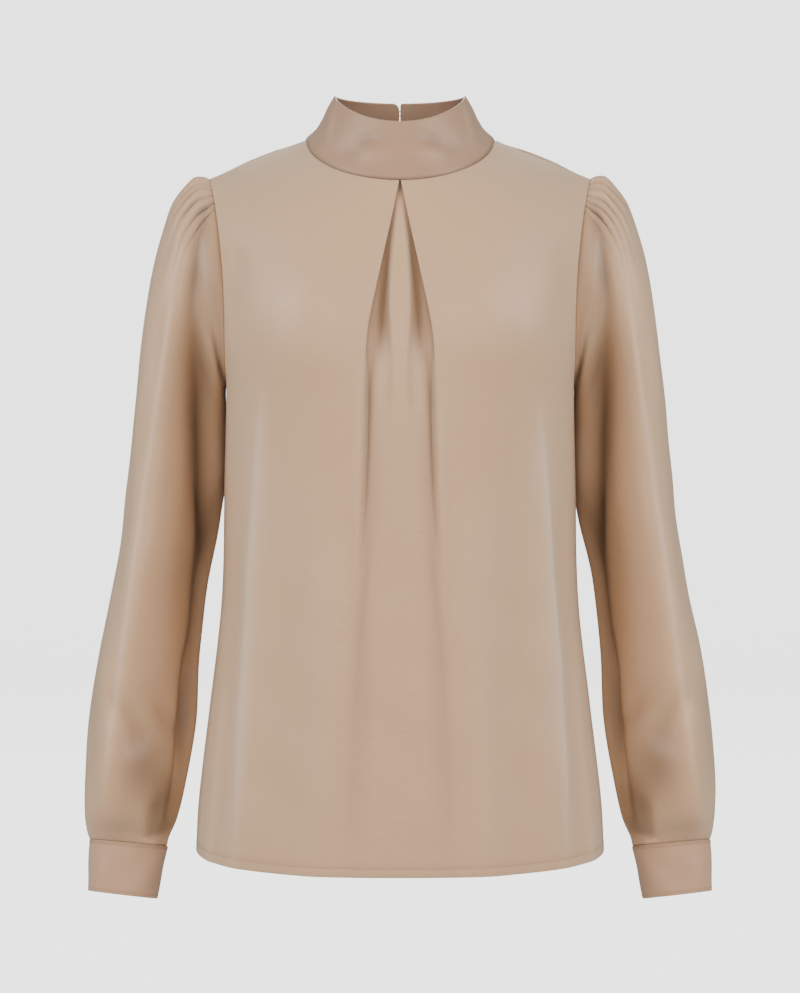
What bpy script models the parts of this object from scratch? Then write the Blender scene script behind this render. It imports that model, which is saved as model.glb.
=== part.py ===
# Stand-collar blouse in crepe, worn-out form with no wearer.
# The origin lies midway between the two points where neck and shoulder seams meet.
# +X is the wearer's left, +Y the back, +Z up. "Drop" is the depth below the origin.

import math

import bpy
import numpy as np
from mathutils import Matrix

# Cloth and seams, in metres
CREPE = 0.001
DOUBLED = 0.002
SEAM_GAP = 0.0003
SEAM_EASE = 0.0005

# Levels
UNDERARM = 0.222
HEM = 0.6363
HEM_DIP_FRONT = 0.0030
HEM_DIP_BACK = 0.0040

# Neckline and shoulder
NECK_HALF = 0.0838
NECK_FRONT = 0.0750
NECK_BACK = 0.0600
NECK_FRONT_DROP = 0.0400
NECK_BACK_DROP = 0.0120
SHOULDER_TIP = 0.1710
SHOULDER_TIP_Y = 0.0030
SHOULDER_DROP = 0.0350
NECK_SHARE = 0.45
SHOULDER_RISE_BACK = 0.0070
SHOULDER_RISE_LEVEL = 0.05
SHOULDER_RISE_FADE = 0.20
SHOULDER_RISE_END = 0.75
SHOULDER_EASE = 0.0003

# How the chest fills out below the neck, front and back
BUST_FULLNESS = 0.0550
BLADE_FULLNESS = 0.0460
SECTION_POWER = 2.3
ROUND_OVER_POWER = 2.6
ROUND_OVER_START = 0.85

# Pleat in the middle of the front, flat when its turns are 0 degrees
PLEAT_TURN_POINTS = 5
PLEAT_MIDDLE_POINTS = 3
PLEAT_RETURN_POINTS = 2
PLEAT_CROWDING = 4
PLEAT_CLOSED = 0.004
PLEAT_RISE = 0.010
PANEL_SAMPLES = 121

# Slit in the middle of the back
SLIT_LENGTH = 0.110
SLIT_HALF = 0.0006
SLIT_SWELL = 0.0010

# Rows of the panels, from the neck and shoulder (0) over the underarm (1) to the hem (2).
# The sleeve's seam has a column at each row that meets the armhole below the gathers.
GATHERS_END = 0.21
FRONT_LEVELS = (0.0, 0.05, 0.12, GATHERS_END, 0.32, 0.44, 0.56, 0.65, 0.72, 0.79, 0.88, 1.0)
FRONT_LOWER = (1.06, 1.13, 1.22, 1.33, 1.46, 1.60, 1.74, 1.88, 2.0)
BACK_LEVELS = (0.0, 0.02, 0.05, 0.11, GATHERS_END, 0.32, 0.44, 0.56, 0.68, 0.79, 0.89, 1.0)
BACK_LOWER = (1.14, 1.30, 1.46, 1.62, 1.76, 1.88, 2.0)
NECK_COLUMNS = 7
SHOULDER_COLUMNS = 6

# Sleeve
GATHERS = 9
GATHER_SPAN = 180.0 * GATHERS_END
GATHER_COLUMNS = 4 * GATHERS
GATHER_FADE = 8.0
CLOSE_TO_RING = 4.0
EVEN_FROM_RING = 9.0
TUBE_POWER = 2.2
LEAN_START = 0.38
LEAN_SPAN = 1.15

# Collar and cuffs
COLLAR_COLUMNS = 4 * NECK_COLUMNS
COLLAR_SLIT = 1.4
CUFF_COLUMNS = 30
CUFF_OVERLAP_COLUMNS = 3
CUFF_STEP = 360.0 / CUFF_COLUMNS
CUFF_RISE = 0.0025
CUFF_OPENS_AT = 282.0

# Buttons and their loops
BUTTON_RADIUS = 0.0045
BUTTON_HEIGHT = 0.0028
SHANK_RADIUS = 0.0012
SHANK_HEIGHT = 0.0018
LOOP_THICKNESS = 0.0010
LOOP_REACH = 0.0095
COLLAR_BACK_RADIUS = 0.055
COLLAR_BUTTONS = (("upper", 0.80), ("lower", 0.42))
COLLAR_BUTTON_ANGLE = 174.0


def table(columns, *rows):
    values = np.array(rows, float)
    return {name: values[:, i] for i, name in enumerate(columns.split())}


BODY = table(
    "drop   half    front   back",
    (0.222, 0.1545, 0.1300, 0.1040),
    (0.325, 0.1575, 0.1330, 0.1060),
    (0.379, 0.1584, 0.1345, 0.1075),
    (0.415, 0.1602, 0.1355, 0.1090),
    (0.451, 0.1638, 0.1365, 0.1110),
    (0.487, 0.1683, 0.1370, 0.1135),
    (0.523, 0.1728, 0.1375, 0.1160),
    (0.559, 0.1773, 0.1380, 0.1185),
    (0.595, 0.1812, 0.1385, 0.1205),
    (0.6363, 0.1836, 0.1390, 0.1220),
)

ARMHOLE_FRONT = table(
    "share x       y        drop",
    (0.00, 0.1710, 0.0030, 0.0350),
    (0.12, 0.1660, -0.0220, 0.0535),
    (0.25, 0.1610, -0.0410, 0.0800),
    (0.40, 0.1565, -0.0530, 0.1170),
    (0.55, 0.1545, -0.0550, 0.1520),
    (0.70, 0.1543, -0.0480, 0.1820),
    (0.85, 0.1545, -0.0300, 0.2080),
    (1.00, 0.1545, 0.0000, 0.2220),
)

ARMHOLE_BACK = table(
    "share x       y       drop",
    (0.00, 0.1710, 0.0030, 0.0350),
    (0.12, 0.1665, 0.0270, 0.0520),
    (0.25, 0.1620, 0.0440, 0.0780),
    (0.40, 0.1580, 0.0540, 0.1140),
    (0.55, 0.1555, 0.0560, 0.1500),
    (0.70, 0.1545, 0.0490, 0.1810),
    (0.85, 0.1545, 0.0310, 0.2080),
    (1.00, 0.1545, 0.0000, 0.2220),
)

# The pleat's folded edge stands "open" from the middle. "overlap" is the cloth folded behind it,
# "turn" the angle of its two turns, "radius" their size, and "recess" how much further back
# the middle layer falls from its centre to its edges.
PLEAT = table(
    "drop   open    overlap turn   radius  recess",
    (0.040, 0.0006, 0.0160, 180.0, 0.0008, 0.0000),
    (0.080, 0.0088, 0.0120, 180.0, 0.0008, 0.0040),
    (0.120, 0.0176, 0.0080, 180.0, 0.0008, 0.0090),
    (0.155, 0.0252, 0.0042, 180.0, 0.0009, 0.0120),
    (0.175, 0.0288, 0.0018, 165.0, 0.0010, 0.0115),
    (0.190, 0.0296, 0.0006, 120.0, 0.0014, 0.0080),
    (0.205, 0.0292, 0.0004, 80.0, 0.0022, 0.0040),
    (0.240, 0.0284, 0.0004, 55.0, 0.0036, 0.0012),
    (0.300, 0.0284, 0.0004, 40.0, 0.0050, 0.0004),
    (0.370, 0.0300, 0.0004, 24.0, 0.0080, 0.0000),
    (0.450, 0.0340, 0.0004, 12.0, 0.0120, 0.0000),
    (0.560, 0.0400, 0.0004, 4.0, 0.0160, 0.0000),
    (0.640, 0.0440, 0.0004, 1.0, 0.0160, 0.0000),
)

# Soft folds of the body: where each starts and ends, how far it stands out, and its width.
# A fold comes up over its first part and dies away over its last. None moves the side seam.
FOLD_START = 0.25
FOLD_FADE = 0.35
SIDE_FADE = 0.15

FRONT_FOLDS = table(
    "x_top  x_end   drop_top drop_end height width",
    (0.0900, 0.0850, 0.1000, 0.2900, 0.0060, 0.0450),
    (0.1180, 0.1500, 0.2100, 0.6800, 0.0045, 0.0130),
    (0.0960, 0.1200, 0.2500, 0.6800, -0.0030, 0.0200),
    (0.1380, 0.1640, 0.2300, 0.6800, -0.0035, 0.0110),
    (0.0640, 0.0800, 0.3000, 0.7200, 0.0025, 0.0180),
    (0.1460, 0.1440, 0.0900, 0.1700, -0.0025, 0.0090),
)

BACK_FOLDS = table(
    "x_top  x_end   drop_top drop_end height width",
    (0.0800, 0.0780, 0.0700, 0.2400, 0.0030, 0.0450),
    (0.1150, 0.1450, 0.2300, 0.6900, 0.0045, 0.0160),
    (0.0850, 0.1050, 0.2600, 0.6900, -0.0035, 0.0180),
    (0.0500, 0.0620, 0.2800, 0.7200, 0.0040, 0.0180),
    (0.0180, 0.0240, 0.3000, 0.7200, -0.0030, 0.0160),
)

# A row is one ring of the sleeve. Its outer and inner ends, its middle's place front to back,
# how far behind that its inner end lies, half its depth, how far its front is tipped up, how
# much its front falls back towards the body, how deep the gathers are there, and how much of
# the armhole's own shape it keeps.
SLEEVE = table(
    "outer  outer_drop inner inner_drop y     inner_y depth tip   lean gather  armhole",
    (0.1710, 0.0350, 0.1545, 0.2220, 0.0000, 0.000, 0.0510, 0.0, 0.00, 0.0003, 1.00),
    (0.1765, 0.0340, 0.1562, 0.2226, 0.0000, 0.001, 0.0525, 0.0, 0.00, 0.0012, 0.85),
    (0.1842, 0.0353, 0.1566, 0.2234, 0.0000, 0.002, 0.0540, 0.0, 0.00, 0.0018, 0.65),
    (0.1930, 0.0436, 0.1568, 0.2245, 0.0000, 0.004, 0.0550, 0.0, 0.02, 0.0016, 0.45),
    (0.2030, 0.0566, 0.1569, 0.2265, 0.0000, 0.006, 0.0560, 0.0, 0.06, 0.0012, 0.30),
    (0.2104, 0.0764, 0.1570, 0.2295, 0.0000, 0.008, 0.0565, 0.0, 0.12, 0.0008, 0.15),
    (0.2193, 0.1080, 0.1570, 0.2350, -0.0010, 0.012, 0.0570, 0.0, 0.22, 0.0004, 0.05),
    (0.2262, 0.1480, 0.1568, 0.2450, -0.0020, 0.018, 0.0575, 0.0, 0.34, 0.0000, 0.00),
    (0.2335, 0.2080, 0.1563, 0.2640, -0.0030, 0.026, 0.0580, 0.0, 0.46, 0.0000, 0.00),
    (0.2404, 0.2750, 0.1562, 0.2980, -0.0040, 0.030, 0.0580, 0.0, 0.54, 0.0000, 0.00),
    (0.2480, 0.3430, 0.1630, 0.3430, -0.0060, 0.028, 0.0575, 0.0, 0.58, 0.0000, 0.00),
    (0.2572, 0.4000, 0.1745, 0.4000, -0.0080, 0.020, 0.0570, 0.0, 0.58, 0.0000, 0.00),
    (0.2696, 0.4600, 0.1804, 0.4600, -0.0110, 0.010, 0.0560, 0.0, 0.56, 0.0000, 0.00),
    (0.2780, 0.5180, 0.1826, 0.5180, -0.0150, 0.003, 0.0540, 2.0, 0.54, 0.0000, 0.00),
    (0.2812, 0.5680, 0.1908, 0.5700, -0.0210, 0.000, 0.0490, 5.0, 0.50, 0.0000, 0.00),
    (0.2810, 0.6000, 0.1984, 0.6040, -0.0250, 0.000, 0.0400, 8.0, 0.38, 0.0000, 0.00),
    (0.2790, 0.6170, 0.2064, 0.6225, -0.0272, 0.000, 0.0260, 10.0, 0.18, 0.0000, 0.00),
    (0.2766, 0.6250, 0.2084, 0.6312, -0.0280, 0.000, 0.0195, 10.0, 0.00, 0.0000, 0.00),
)

# Angles run from the outer edge (0) over the front (90) to the inner edge (180)
SLEEVE_FOLDS = table(
    "angle_top angle_end drop_top drop_end height width",
    (92.0, 136.0, 0.0800, 0.4700, -0.0085, 13.0),
    (38.0, 62.0, 0.0900, 0.6400, 0.0030, 15.0),
    (150.0, 152.0, 0.4300, 0.6500, -0.0050, 14.0),
    (105.0, 85.0, 0.4700, 0.5500, -0.0040, 18.0),
    (290.0, 240.0, 0.0600, 0.5200, -0.0050, 17.0),
    (325.0, 300.0, 0.1000, 0.6400, 0.0030, 15.0),
    (215.0, 210.0, 0.4500, 0.6500, -0.0040, 16.0),
)

CUFF = table(
    "share outer   outer_drop inner inner_drop y       depth",
    (0.0, 0.2766, 0.6250, 0.2084, 0.6312, -0.0280, 0.0195),
    (0.5, 0.2771, 0.6466, 0.2129, 0.6533, -0.0318, 0.0192),
    (1.0, 0.2774, 0.6683, 0.2172, 0.6754, -0.0356, 0.0188),
)
CUFF_TIP = 10.0

COLLAR = table(
    "share half    front   back    side_z  front_z  back_z",
    (0.00, 0.0838, 0.0750, 0.0600, 0.0000, -0.0400, -0.0120),
    (0.15, 0.0750, 0.0722, 0.0588, 0.0075, -0.0325, -0.0050),
    (0.33, 0.0698, 0.0690, 0.0578, 0.0150, -0.0235, 0.0035),
    (0.65, 0.0643, 0.0640, 0.0562, 0.0265, -0.0070, 0.0190),
    (1.00, 0.0580, 0.0600, 0.0550, 0.0373, 0.0100, 0.0350),
)
COLLAR_EDGE_POWER = 1.3

COLORS = {
    "crepe": ((0.527, 0.380, 0.290), 0.42),
    "crepe_doubled": ((0.470, 0.330, 0.240), 0.45),
    "covered_button": ((0.480, 0.340, 0.250), 0.40),
    "loop_thread": ((0.430, 0.300, 0.220), 0.55),
}


def blend(low, high, share):
    return low + (high - low) * share


def ease(share):
    share = np.clip(share, 0.0, 1.0)
    return share * share * (3.0 - 2.0 * share)


def read(rows, name, at, key="drop"):
    # A smooth curve through one column of a table
    x, y = rows[key], rows[name]
    slope = np.gradient(y, x)
    i = int(np.clip(np.searchsorted(x, at) - 1, 0, len(x) - 2))
    width = x[i + 1] - x[i]
    t = min(max((at - x[i]) / width, 0.0), 1.0)
    start = y[i] * (1 + 2 * t) * (1 - t) ** 2 + slope[i] * width * t * (1 - t) ** 2
    end = y[i + 1] * t * t * (3 - 2 * t) - slope[i + 1] * width * t * t * (1 - t)
    return start + end


def powered(value, power):
    return math.copysign(abs(value) ** (2.0 / power), value)


def fold_height(folds, x, drop):
    height = 0.0
    for i in range(len(folds["height"])):
        along = (drop - folds["drop_top"][i]) / (folds["drop_end"][i] - folds["drop_top"][i])
        if 0.0 < along < 1.0:
            fade = ease(along / FOLD_START) * ease((1.0 - along) / FOLD_FADE)
            away = (x - blend(folds["x_top"][i], folds["x_end"][i], along)) / folds["width"][i]
            height += folds["height"][i] * fade * math.exp(-away * away)
    return height


# Half of a panel. "u" runs from the middle (0) to the side (1). "level" runs from the
# neck and shoulder (0) over the underarm (1) to the hem (2).
def section_point(u, drop, side):
    angle = math.radians(90.0 * u)
    half = read(BODY, "half", drop)
    depth = read(BODY, "front" if side < 0 else "back", drop)
    x = half * powered(math.sin(angle), SECTION_POWER)
    return x, side * depth * powered(math.cos(angle), SECTION_POWER)


def neck_and_shoulder(u, side):
    neck_depth = NECK_FRONT if side < 0 else NECK_BACK
    neck_drop = NECK_FRONT_DROP if side < 0 else NECK_BACK_DROP
    if u <= NECK_SHARE:
        angle = math.radians(90.0 * u / NECK_SHARE)
        x, y = NECK_HALF * math.sin(angle), side * neck_depth * math.cos(angle)
        return x, y, neck_drop * math.cos(angle)
    share = (u - NECK_SHARE) / (1.0 - NECK_SHARE)
    return blend(NECK_HALF, SHOULDER_TIP, share), SHOULDER_TIP_Y * share, SHOULDER_DROP * share


def chest_point(u, v, side):
    armhole = ARMHOLE_FRONT if side < 0 else ARMHOLE_BACK
    top_x, top_y, top_drop = neck_and_shoulder(u, side)
    low_x, low_y = section_point(u, UNDERARM, side)
    round_over = (1.0 - (1.0 - v) ** ROUND_OVER_POWER) ** ROUND_OVER_START
    edge_x = read(armhole, "x", v, "share") - blend(SHOULDER_TIP, armhole["x"][-1], v)
    edge_y = read(armhole, "y", v, "share") - blend(SHOULDER_TIP_Y, 0.0, round_over)
    edge_drop = read(armhole, "drop", v, "share") - blend(SHOULDER_DROP, UNDERARM, v)
    neck_depth = NECK_FRONT if side < 0 else NECK_BACK
    fullness = BUST_FULLNESS if side < 0 else BLADE_FULLNESS
    low_middle = section_point(0.0, UNDERARM, side)[1]
    middle = side * (neck_depth + fullness * math.sin(math.radians(90.0 * v)))
    middle_y = middle - blend(side * neck_depth, low_middle, round_over)
    x = blend(top_x, low_x, v) + u * edge_x
    y = blend(top_y, low_y, round_over) + u * edge_y + (1.0 - u) * middle_y
    drop = blend(top_drop, UNDERARM, v) + u * edge_drop
    if side > 0:
        part = v / SHOULDER_RISE_LEVEL
        across = ease((u - NECK_SHARE) / SHOULDER_RISE_FADE)
        across *= ease((1.0 - u) / (1.0 - SHOULDER_RISE_END))
        drop -= SHOULDER_RISE_BACK * part * math.exp(1.0 - part) * across
    return x, y, drop


def panel_point(u, level, side):
    if level <= 1.0:
        x, y, drop = chest_point(u, level, side)
    else:
        drop = blend(UNDERARM, HEM, level - 1.0)
        x, y = section_point(u, drop, side)
        dip = HEM_DIP_FRONT if side < 0 else HEM_DIP_BACK
        drop += dip * math.cos(math.radians(90.0 * u)) * (level - 1.0) ** 2
    folds = FRONT_FOLDS if side < 0 else BACK_FOLDS
    out = fold_height(folds, x, drop) * ease((1.0 - u) / SIDE_FADE)
    spread = math.radians(90.0 * u)
    return np.array((x + out * math.sin(spread), y + side * out * math.cos(spread), -drop))


def pleat_path(drop):
    # From the middle outwards: x, and how far behind the front's outer layer the cloth lies
    turn = math.radians(read(PLEAT, "turn", drop))
    radius = read(PLEAT, "radius", drop)
    overlap = read(PLEAT, "overlap", drop)
    end = read(PLEAT, "open", drop) + radius
    width = 2 * radius * math.sin(turn) + overlap * math.cos(turn)
    depth = 2 * radius * (1 - math.cos(turn)) + overlap * math.sin(turn)
    start = end - width
    back = depth + read(PLEAT, "recess", drop)
    centre = blend(depth, CREPE, ease((end - PLEAT_CLOSED) / PLEAT_RISE))
    angles = [turn * i / (PLEAT_TURN_POINTS - 1) for i in range(PLEAT_TURN_POINTS)]
    path = []
    for i in range(PLEAT_MIDDLE_POINTS):
        share = i / PLEAT_MIDDLE_POINTS
        path.append((start * share, blend(centre, back, share)))
    path += [(start + radius * math.sin(a), back - radius * (1 - math.cos(a))) for a in angles]
    turned = [(end - radius * math.sin(a), radius * (1 - math.cos(a))) for a in reversed(angles)]
    behind = path[-1]
    for i in range(1, PLEAT_RETURN_POINTS + 1):
        share = i / (PLEAT_RETURN_POINTS + 1)
        path.append((blend(behind[0], turned[0][0], share), blend(behind[1], turned[0][1], share)))
    return path + turned


def column_shares():
    neck = np.linspace(0.0, NECK_SHARE, NECK_COLUMNS + 1)
    shoulder = np.linspace(NECK_SHARE, 1.0, SHOULDER_COLUMNS + 1)
    return [*neck, *shoulder[1:]]


def front_row(level):
    shares = np.linspace(0.0, 1.0, PANEL_SAMPLES)
    samples = np.array([panel_point(u, level, -1) for u in shares])
    drop = -samples[0, 2]
    row = []
    for x, behind in pleat_path(drop):
        y, z = (np.interp(x, samples[:, 0], samples[:, k]) for k in (1, 2))
        row.append((x, y + behind, z))
    first = np.interp(row[-1][0], samples[:, 0], shares)
    for share in column_shares()[1:]:
        row.append(panel_point(share + first * (1.0 - share) ** PLEAT_CROWDING, level, -1))
    return row


def back_row(level):
    row = [panel_point(share, level, 1) for share in column_shares()]
    down = (-row[0][2] - NECK_BACK_DROP) / SLIT_LENGTH
    if down < 1.0:
        row[0][0] = SLIT_HALF + SLIT_SWELL * math.sin(math.pi * down)
    return row


# Sleeves and cuffs, as worked out for the wearer's left
def ring_point(angle, outer, inner, y, depth, tip, power, inner_y=0.0, lean=0.0):
    c, s = powered(math.cos(angle), power), powered(math.sin(angle), power)
    if s > 0:
        s *= 1.0 - lean * ease((LEAN_START - c) / LEAN_SPAN)
    middle = np.array(((outer[0] + inner[0]) / 2, y, -(outer[1] + inner[1]) / 2))
    middle = middle + (0.0, inner_y * ((1.0 - c) / 2) ** 2, 0.0)
    across = np.array(((outer[0] - inner[0]) / 2, 0.0, -(outer[1] - inner[1]) / 2))
    forward = np.array((0.0, -math.cos(tip), math.sin(tip))) * depth
    return middle + across * c + forward * s, middle


def armhole_point(angle):
    # Straight from row to row of the panels, as their edges are
    degrees = math.degrees(angle) % 360.0
    side = -1 if degrees <= 180.0 else 1
    share = min(degrees, 360.0 - degrees) / 180.0
    levels = FRONT_LEVELS if side < 0 else BACK_LEVELS
    edge = np.array([panel_point(1.0, level, side) for level in levels])
    clear = SEAM_GAP + SEAM_EASE
    x, y, z = (np.interp(share, levels, edge[:, k]) for k in range(3))
    return np.array((x + clear, y, z))


def sleeve_ring(k, angle):
    row = {name: values[k] for name, values in SLEEVE.items()}
    outer, inner = (row["outer"], row["outer_drop"]), (row["inner"], row["inner_drop"])
    point, middle = ring_point(
        angle,
        outer,
        inner,
        row["y"],
        row["depth"],
        math.radians(row["tip"]),
        TUBE_POWER,
        row["inner_y"],
        row["lean"],
    )
    first = {name: values[0] for name, values in SLEEVE.items()}
    plain = ring_point(
        angle,
        (first["outer"], first["outer_drop"]),
        (first["inner"], first["inner_drop"]),
        first["y"],
        first["depth"],
        0.0,
        TUBE_POWER,
    )[0]
    point = point + row["armhole"] * (armhole_point(angle) - plain)
    degrees = math.degrees(angle) % 360.0
    signed = degrees - 360.0 if degrees > 180.0 else degrees
    out = sleeve_fold_height(degrees, -point[2]) * (1.0 - row["armhole"])
    if abs(signed) < GATHER_SPAN:
        fade = ease((GATHER_SPAN - abs(signed)) / GATHER_FADE)
        out += row["gather"] * fade * math.cos(math.pi * GATHERS * signed / GATHER_SPAN)
    away = point - middle
    return point + away / np.linalg.norm(away) * out


def sleeve_fold_height(degrees, drop):
    height = 0.0
    folds = SLEEVE_FOLDS
    for i in range(len(folds["height"])):
        along = (drop - folds["drop_top"][i]) / (folds["drop_end"][i] - folds["drop_top"][i])
        if 0.0 < along < 1.0:
            fade = ease(along / FOLD_START) * ease((1.0 - along) / FOLD_START)
            middle = blend(folds["angle_top"][i], folds["angle_end"][i], along)
            away = ((degrees - middle + 180.0) % 360.0 - 180.0) / folds["width"][i]
            height += folds["height"][i] * fade * math.exp(-away * away)
    return height


def sleeve_angles(k):
    # Close together over the gathers at the head, even from the upper arm down
    gathered = np.linspace(-GATHER_SPAN, GATHER_SPAN, GATHER_COLUMNS, endpoint=False)
    front = [180.0 * level for level in FRONT_LEVELS if level >= GATHERS_END]
    back = [360.0 - 180.0 * level for level in reversed(BACK_LEVELS) if GATHERS_END < level < 1.0]
    close = np.concatenate((gathered, front, back))
    even = np.linspace(0.0, 360.0, len(close), endpoint=False)
    even -= 180.0 * GATHER_COLUMNS / len(close)
    share = ease((k - CLOSE_TO_RING) / (EVEN_FROM_RING - CLOSE_TO_RING))
    return np.radians(blend(close, even, share))


def cuff_point(share, degrees, lift):
    outer = (read(CUFF, "outer", share, "share"), read(CUFF, "outer_drop", share, "share"))
    inner = (read(CUFF, "inner", share, "share"), read(CUFF, "inner_drop", share, "share"))
    y, depth = (read(CUFF, name, share, "share") for name in ("y", "depth"))
    tip = math.radians(CUFF_TIP)
    point, middle = ring_point(math.radians(degrees), outer, inner, y, depth, tip, TUBE_POWER)
    ahead = ring_point(math.radians(degrees + 1.0), outer, inner, y, depth, tip, TUBE_POWER)[0]
    across = np.array((outer[0] - inner[0], 0.0, inner[1] - outer[1]))
    axis = np.cross(across, (0.0, -math.cos(tip), math.sin(tip)))
    away = np.cross(ahead - point, axis)
    away = away if np.dot(away, point - middle) > 0 else -away
    return point + away / np.linalg.norm(away) * lift


def collar_point(share, degrees):
    # 0 degrees is the middle of the front, 90 the wearer's left
    names = ("half", "front", "back", "side_z", "front_z", "back_z")
    half, front, back, side_z, front_z, back_z = (
        read(COLLAR, name, share, "share") for name in names
    )
    angle = math.radians(degrees)
    toward = math.cos(angle)
    y = -front * toward if toward > 0 else back * -toward
    end_z = front_z if toward > 0 else back_z
    power = blend(1.0, COLLAR_EDGE_POWER, share)
    return np.array((half * math.sin(angle), y, blend(side_z, end_z, abs(toward) ** power)))


# Making the objects
def material(name):
    color, roughness = COLORS[name]
    made = bpy.data.materials.get(name) or bpy.data.materials.new(name)
    made.use_nodes = True
    shader = made.node_tree.nodes["Principled BSDF"]
    shader.inputs["Base Color"].default_value = (*color, 1.0)
    shader.inputs["Roughness"].default_value = roughness
    shader.inputs["Metallic"].default_value = 0.0
    return made


def loft(name, rows, finish, wall, closed=False, mirrored=False, flipped=False):
    count = len(rows[0])
    points = [tuple(p) for row in rows for p in row]
    faces = []
    for r in range(len(rows) - 1):
        for c in range(count if closed else count - 1):
            d = (c + 1) % count
            face = (r * count + c, (r + 1) * count + c, (r + 1) * count + d, r * count + d)
            faces.append(face[::-1] if flipped else face)
    mesh = bpy.data.meshes.new(name)
    mesh.from_pydata(points, [], faces)
    mesh.shade_smooth()
    mesh.materials.append(material(finish))
    made = bpy.data.objects.new(name, mesh)
    garment.objects.link(made)
    if mirrored:
        mirror = made.modifiers.new("other half", "MIRROR")
        mirror.merge_threshold = 0.0001
    solid = made.modifiers.new("cloth", "SOLIDIFY")
    solid.thickness = wall
    solid.offset = 0.0
    return made


def seam_shift(row):
    return SEAM_GAP / 2 + (SHOULDER_EASE if row == 0 else 0.0)


def build_front():
    rows = [front_row(level) for level in FRONT_LEVELS + FRONT_LOWER]
    rows = [[np.array(p) - (0, seam_shift(r), 0) for p in row] for r, row in enumerate(rows)]
    loft("front", rows, "crepe", CREPE, mirrored=True)


def build_back():
    rows = [back_row(level) for level in BACK_LEVELS + BACK_LOWER]
    rows = [[p + (0, seam_shift(r), 0) for p in row] for r, row in enumerate(rows)]
    loft("back", rows, "crepe", CREPE, mirrored=True, flipped=True)


def build_sleeve(name, hand):
    rows = []
    for k in range(len(SLEEVE["outer"])):
        ring = [sleeve_ring(k, angle) * (hand, 1, 1) for angle in sleeve_angles(k)]
        rows.append(ring)
    loft(name, rows, "crepe", CREPE, closed=True, flipped=hand < 0)


def build_cuff(name, hand):
    rows = []
    down = np.array((0.0, 0.0, -SEAM_GAP - SEAM_EASE))
    for share in CUFF["share"]:
        row = []
        for i in range(CUFF_COLUMNS + CUFF_OVERLAP_COLUMNS + 1):
            lift = CUFF_RISE * ease((i - CUFF_COLUMNS + 2.0) / 2.0)
            point = cuff_point(share, CUFF_OPENS_AT + CUFF_STEP * i, lift) + down
            row.append(point * (hand, 1, 1))
        rows.append(row)
    loft(name, rows, "crepe_doubled", DOUBLED, flipped=hand < 0)


def build_collar():
    rows = []
    up = np.array((0.0, 0.0, SEAM_GAP + SEAM_EASE))
    for share in COLLAR["share"]:
        row = []
        for i in range(COLLAR_COLUMNS + 1):
            degrees = blend(-180.0 + COLLAR_SLIT / 2, 180.0 - COLLAR_SLIT / 2, i / COLLAR_COLUMNS)
            row.append(collar_point(share, degrees) + up)
        rows.append(row)
    loft("collar", rows, "crepe_doubled", DOUBLED, flipped=True)


def aim(position, outward):
    # A frame whose local Z points outward
    outward = outward / np.linalg.norm(outward)
    across = np.cross((0.0, 0.0, 1.0), outward)
    across = across / np.linalg.norm(across)
    up = np.cross(outward, across)
    columns = np.column_stack((across, up, outward))
    return position, columns


def place(made, frame):
    position, columns = frame
    made.matrix_world = Matrix.Translation(position) @ Matrix(columns.tolist()).to_4x4()


def build_button(name, frame):
    # A cloth-covered dome on a short shank, turned about its own Z
    dome = [
        (BUTTON_RADIUS * math.sin(a), SHANK_HEIGHT + BUTTON_HEIGHT * (0.35 + 0.65 * math.cos(a)))
        for a in np.radians((0.0, 30.0, 60.0, 90.0))
    ]
    profile = dome + [
        (BUTTON_RADIUS * 0.9, SHANK_HEIGHT),
        (SHANK_RADIUS, SHANK_HEIGHT),
        (SHANK_RADIUS, 0.0),
        (0.0, 0.0),
    ]
    mesh = bpy.data.meshes.new(name)
    edges = [(i, i + 1) for i in range(len(profile) - 1)]
    mesh.from_pydata([(x, 0.0, z) for x, z in profile], edges, [])
    mesh.materials.append(material("covered_button"))
    made = bpy.data.objects.new(name, mesh)
    garment.objects.link(made)
    screw = made.modifiers.new("turned", "SCREW")
    screw.steps = 14
    screw.render_steps = 14
    screw.use_merge_vertices = True
    screw.merge_threshold = 0.00001
    screw.use_smooth_shade = True
    place(made, frame)
    return made


def build_loop(name, frame):
    # From the collar's other end, round the shank and back
    radius = SHANK_RADIUS + LOOP_THICKNESS / 2 + SEAM_GAP
    height = LOOP_THICKNESS / 2
    angles = np.radians(np.linspace(90.0, 270.0, 7))
    bend = [(radius * math.cos(a), radius * math.sin(a)) for a in angles]
    path = [(LOOP_REACH, radius), (LOOP_REACH / 2, radius)] + bend
    path += [(LOOP_REACH / 2, -radius), (LOOP_REACH, -radius)]
    curve = bpy.data.curves.new(name, "CURVE")
    curve.dimensions = "3D"
    curve.bevel_depth = LOOP_THICKNESS / 2
    curve.bevel_resolution = 1
    curve.use_fill_caps = True
    spline = curve.splines.new("POLY")
    spline.points.add(len(path) - 1)
    for point, (x, y) in zip(spline.points, path):
        point.co = (x, y, height - x * x / (2 * COLLAR_BACK_RADIUS), 1.0)
    curve.materials.append(material("loop_thread"))
    made = bpy.data.objects.new(name, curve)
    garment.objects.link(made)
    place(made, frame)


def surface_frame(point_at, a, b):
    # The place and outward direction on a surface given by two numbers
    step = 0.01
    here = point_at(a, b)
    along = point_at(a, b + step) - here
    down = point_at(a + step, b) - here
    outward = np.cross(down, along)
    outward = outward / np.linalg.norm(outward)
    return here, outward


def build_collar_closure():
    lift = DOUBLED / 2 + SEAM_GAP
    up = np.array((0.0, 0.0, SEAM_GAP + SEAM_EASE))
    for name, share in COLLAR_BUTTONS:
        here, outward = surface_frame(collar_point, share, COLLAR_BUTTON_ANGLE)
        outward = outward if outward[1] > 0 else -outward
        frame = aim(here + up + outward * lift, outward)
        build_button(f"collar_button_{name}", frame)
        build_loop(f"collar_loop_{name}", frame)


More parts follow.
